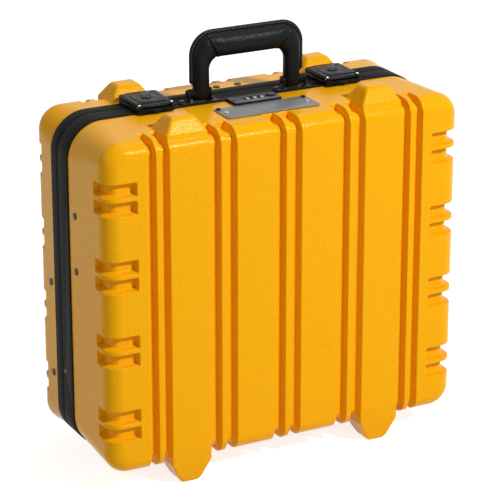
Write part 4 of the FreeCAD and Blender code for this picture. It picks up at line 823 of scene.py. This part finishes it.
def key_ring(word):
    """The dished ring round a latch's key barrel."""
    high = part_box(f"{word}_latch_lever")[1]
    key_low, key_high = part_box(f"{word}_key_barrel")
    centre = np.array([(key_low[0] + key_high[0]) / 2, (key_low[1] + key_high[1]) / 2, high[2]])
    turns = [np.linspace(0, 2 * math.pi, count) for count in (RING_POINTS, RING_SECTION_POINTS)]
    turn, roll = np.meshgrid(*turns, indexing="ij")
    away = RING_RADIUS + RING_THICKNESS * np.cos(roll)
    ring = np.stack([away * np.cos(turn), away * np.sin(turn), RING_THICKNESS * np.sin(roll)], axis=-1)
    work = bmesh.new()
    work.from_mesh(mesh_from_grids("ring", [ring + centre]))
    bmesh.ops.remove_doubles(work, verts=work.verts, dist=MERGE)
    bmesh.ops.recalc_face_normals(work, faces=work.faces)
    fitting(f"{word}_key_ring", work, f"{word}_lever", MATERIALS["black_hardware"])


def pin_caps(word):
    """The bright ends of a latch's pin, on top of its two lugs."""
    low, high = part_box(f"{word}_latch_base")
    pin_y = JOINTS[f"{word}_latch_hinge"]["pos_m"][1]
    work = bmesh.new()
    for x in (low[0] + LUG_WIDTH / 2, high[0] - LUG_WIDTH / 2):
        place = Matrix.Translation((x, pin_y, high[2]))
        shape = Matrix.Diagonal((CAP_LENGTH / 2, CAP_RADIUS, CAP_RADIUS, 1.0))
        add_ball(work, CAP_SEGMENTS, CAP_RINGS, place @ shape)
    fitting(f"{word}_pin_caps", work, "base", MATERIALS["plated_steel"])


def handle_bush(word, side):
    """A black sleeve round the end of the handle's strap, in its leg."""
    middle = side * (LEG_OUT_X - LEG_WIDTH / 2)
    work = bmesh.new()
    turn = Matrix.Translation((middle, PIVOT_Y, PIVOT_Z)) @ Matrix.Rotation(math.pi / 2, 4, "Y")
    radii = {"radius1": BUSH_RADIUS, "radius2": BUSH_RADIUS}
    length = LEG_WIDTH + BUSH_REACH
    bmesh.ops.create_cone(work, cap_ends=True, segments=BUSH_SEGMENTS, depth=length, matrix=turn, **radii)
    fitting(f"{word}_handle_bush", work, "handle", MATERIALS["black_leather"])


def lock_inlay():
    """The grey strip along the front of the lock's plate."""
    low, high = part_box("lock_housing")
    front = low[1] + INLAY_FRONT
    work = bmesh.new()
    near = (low[0] + INLAY_SIDE, front, high[2] - INLAY_RISE)
    add_block(work, near, (high[0] - INLAY_SIDE, front + INLAY_DEPTH, high[2] + INLAY_RISE))
    fitting("lock_inlay", work, "base", MATERIALS["lock_strip"])


def digit_mesh(digit):
    """One numeral as a thin solid, flat and centred."""
    curve = bpy.data.curves.new("digit", "FONT")
    curve.body = str(digit)
    curve.size = DIGIT_SIZE
    curve.extrude = DIGIT_RISE
    curve.offset = DIGIT_SWELL
    curve.resolution_u = DIGIT_CURVE_STEPS
    curve.align_x = "CENTER"
    curve.align_y = "CENTER"
    thing = bpy.data.objects.new("digit", curve)
    mesh = bpy.data.meshes.new_from_object(thing)
    bpy.data.objects.remove(thing)
    return mesh


def dial_digits(number):
    """The numerals round one dial, wrapped on its rim."""
    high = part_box(f"lock_dial_{number}")[1]
    axis = JOINTS[f"dial_{number}_spin"]["pos_m"]
    radius = high[2] - axis[2]
    work = bmesh.new()
    for digit in range(DIGIT_COUNT):
        mesh = digit_mesh(digit)
        start = DIGIT_TURN + digit * 2 * math.pi / DIGIT_COUNT
        for vertex in mesh.vertices:
            across, along, rise = vertex.co
            angle = start + along / radius
            away = radius + rise
            x = axis[0] + across * DIGIT_STRETCH_SHARE
            vertex.co = (x, axis[1] + away * math.sin(angle), axis[2] + away * math.cos(angle))
        work.from_mesh(mesh)
    bmesh.ops.remove_doubles(work, verts=work.verts, dist=MERGE)
    bmesh.ops.recalc_face_normals(work, faces=work.faces)
    fitting(f"dial_{number}_digits", work, f"dial_{number}", MATERIALS["digit_paint"])


for word in ("left", "right"):
    latch_strips(word)
    key_ring(word)
    pin_caps(word)
handle_bush("left", -1)
handle_bush("right", 1)
lock_inlay()
for number in (1, 2, 3):
    dial_digits(number)


# Stage, light and camera.

CAMERA_PLACE = (-1.2613, -2.3913, 1.2325)
CAMERA_YAW = math.radians(27.852)
CAMERA_PITCH = math.radians(20.257)
FOCAL_PIXELS = 2432.65
PHOTO_WIDTH_PIXELS = 501
SENSOR_WIDTH = 36.0
FLOOR_SIZE = 12.0
FLOOR_GLOW = 0.80
FLOOR_COLOR = (0.88, 0.88, 0.88, 1.0)
CLIP_END = FLOOR_SIZE * 10
WHITE = (1.0, 1.0, 1.0, 1.0)
SOFT_LIGHT = 0.12
WHITE_LIGHT = 1.0
LIGHT_TARGET = (0.0, 0.0, 0.22)

# Name, place, size and power of each lamp.
LIGHTS = (
    ("key", (1.1, -2.2, 2.2), 0.35, 76.0),
    ("top", (0.3, 0.3, 2.4), 1.0, 9.0),
    ("left_fill", (-2.2, 0.5, 1.9), 0.8, 10.0),
)


def make_camera():
    data = bpy.data.cameras.new("camera")
    data.sensor_width = SENSOR_WIDTH
    data.lens = FOCAL_PIXELS / PHOTO_WIDTH_PIXELS * SENSOR_WIDTH
    data.clip_end = CLIP_END
    camera = bpy.data.objects.new("camera", data)
    camera.location = CAMERA_PLACE
    camera.rotation_euler = (math.pi / 2 - CAMERA_PITCH, 0.0, -CAMERA_YAW)
    bpy.context.scene.collection.objects.link(camera)
    bpy.context.scene.camera = camera


def area_light(name, place, size, power):
    """A round lamp that points at the middle of the case."""
    data = bpy.data.lights.new(name, "AREA")
    data.shape = "DISK"
    data.size = size
    data.energy = power
    light = bpy.data.objects.new(name, data)
    light.location = place
    light.rotation_euler = (Vector(LIGHT_TARGET) - light.location).to_track_quat("-Z", "Y").to_euler()
    bpy.context.scene.collection.objects.link(light)


def seen_directly(tree):
    """One for rays from the camera, from gloss and through glass, and zero for the rest."""
    path = tree.nodes.new("ShaderNodeLightPath")
    total = path.outputs["Is Camera Ray"]
    for name in ("Is Glossy Ray", "Is Transmission Ray"):
        larger = tree.nodes.new("ShaderNodeMath")
        larger.operation = "MAXIMUM"
        tree.links.new(total, larger.inputs[0])
        tree.links.new(path.outputs[name], larger.inputs[1])
        total = larger.outputs[0]
    return total


def floor_material():
    """Pale and matt, with a glow that only shows where it is seen directly, so the shadow stays."""
    material = bpy.data.materials.new("floor")
    material.use_nodes = True
    tree = material.node_tree
    tree.nodes.clear()
    output = tree.nodes.new("ShaderNodeOutputMaterial")
    both = tree.nodes.new("ShaderNodeAddShader")
    diffuse = tree.nodes.new("ShaderNodeBsdfDiffuse")
    diffuse.inputs["Color"].default_value = FLOOR_COLOR
    glow = tree.nodes.new("ShaderNodeEmission")
    scale = tree.nodes.new("ShaderNodeMath")
    scale.operation = "MULTIPLY"
    scale.inputs[1].default_value = FLOOR_GLOW
    tree.links.new(seen_directly(tree), scale.inputs[0])
    tree.links.new(scale.outputs[0], glow.inputs["Strength"])
    tree.links.new(diffuse.outputs[0], both.inputs[0])
    tree.links.new(glow.outputs[0], both.inputs[1])
    tree.links.new(both.outputs[0], output.inputs["Surface"])
    return material


def make_floor():
    mesh = bpy.data.meshes.new("floor")
    half = FLOOR_SIZE / 2
    corners = [(-half, -half, 0), (half, -half, 0), (half, half, 0), (-half, half, 0)]
    mesh.from_pydata(corners, [], [(0, 1, 2, 3)])
    floor = add_piece("floor", mesh, floor_material())


def make_world():
    """Soft even light, with a white background for what the camera and glossy rays see."""
    world = bpy.data.worlds.new("studio")
    bpy.context.scene.world = world
    world.use_nodes = True
    tree = world.node_tree
    tree.nodes.clear()
    output = tree.nodes.new("ShaderNodeOutputWorld")
    mix = tree.nodes.new("ShaderNodeMixShader")
    tree.links.new(seen_directly(tree), mix.inputs["Fac"])
    for socket, strength in ((1, SOFT_LIGHT), (2, WHITE_LIGHT)):
        background = tree.nodes.new("ShaderNodeBackground")
        background.inputs["Color"].default_value = WHITE
        background.inputs["Strength"].default_value = strength
        tree.links.new(background.outputs[0], mix.inputs[socket])
    tree.links.new(mix.outputs[0], output.inputs["Surface"])


make_camera()
make_floor()
make_world()
for lamp in LIGHTS:
    area_light(*lamp)
bpy.context.scene.view_settings.view_transform = "Standard"
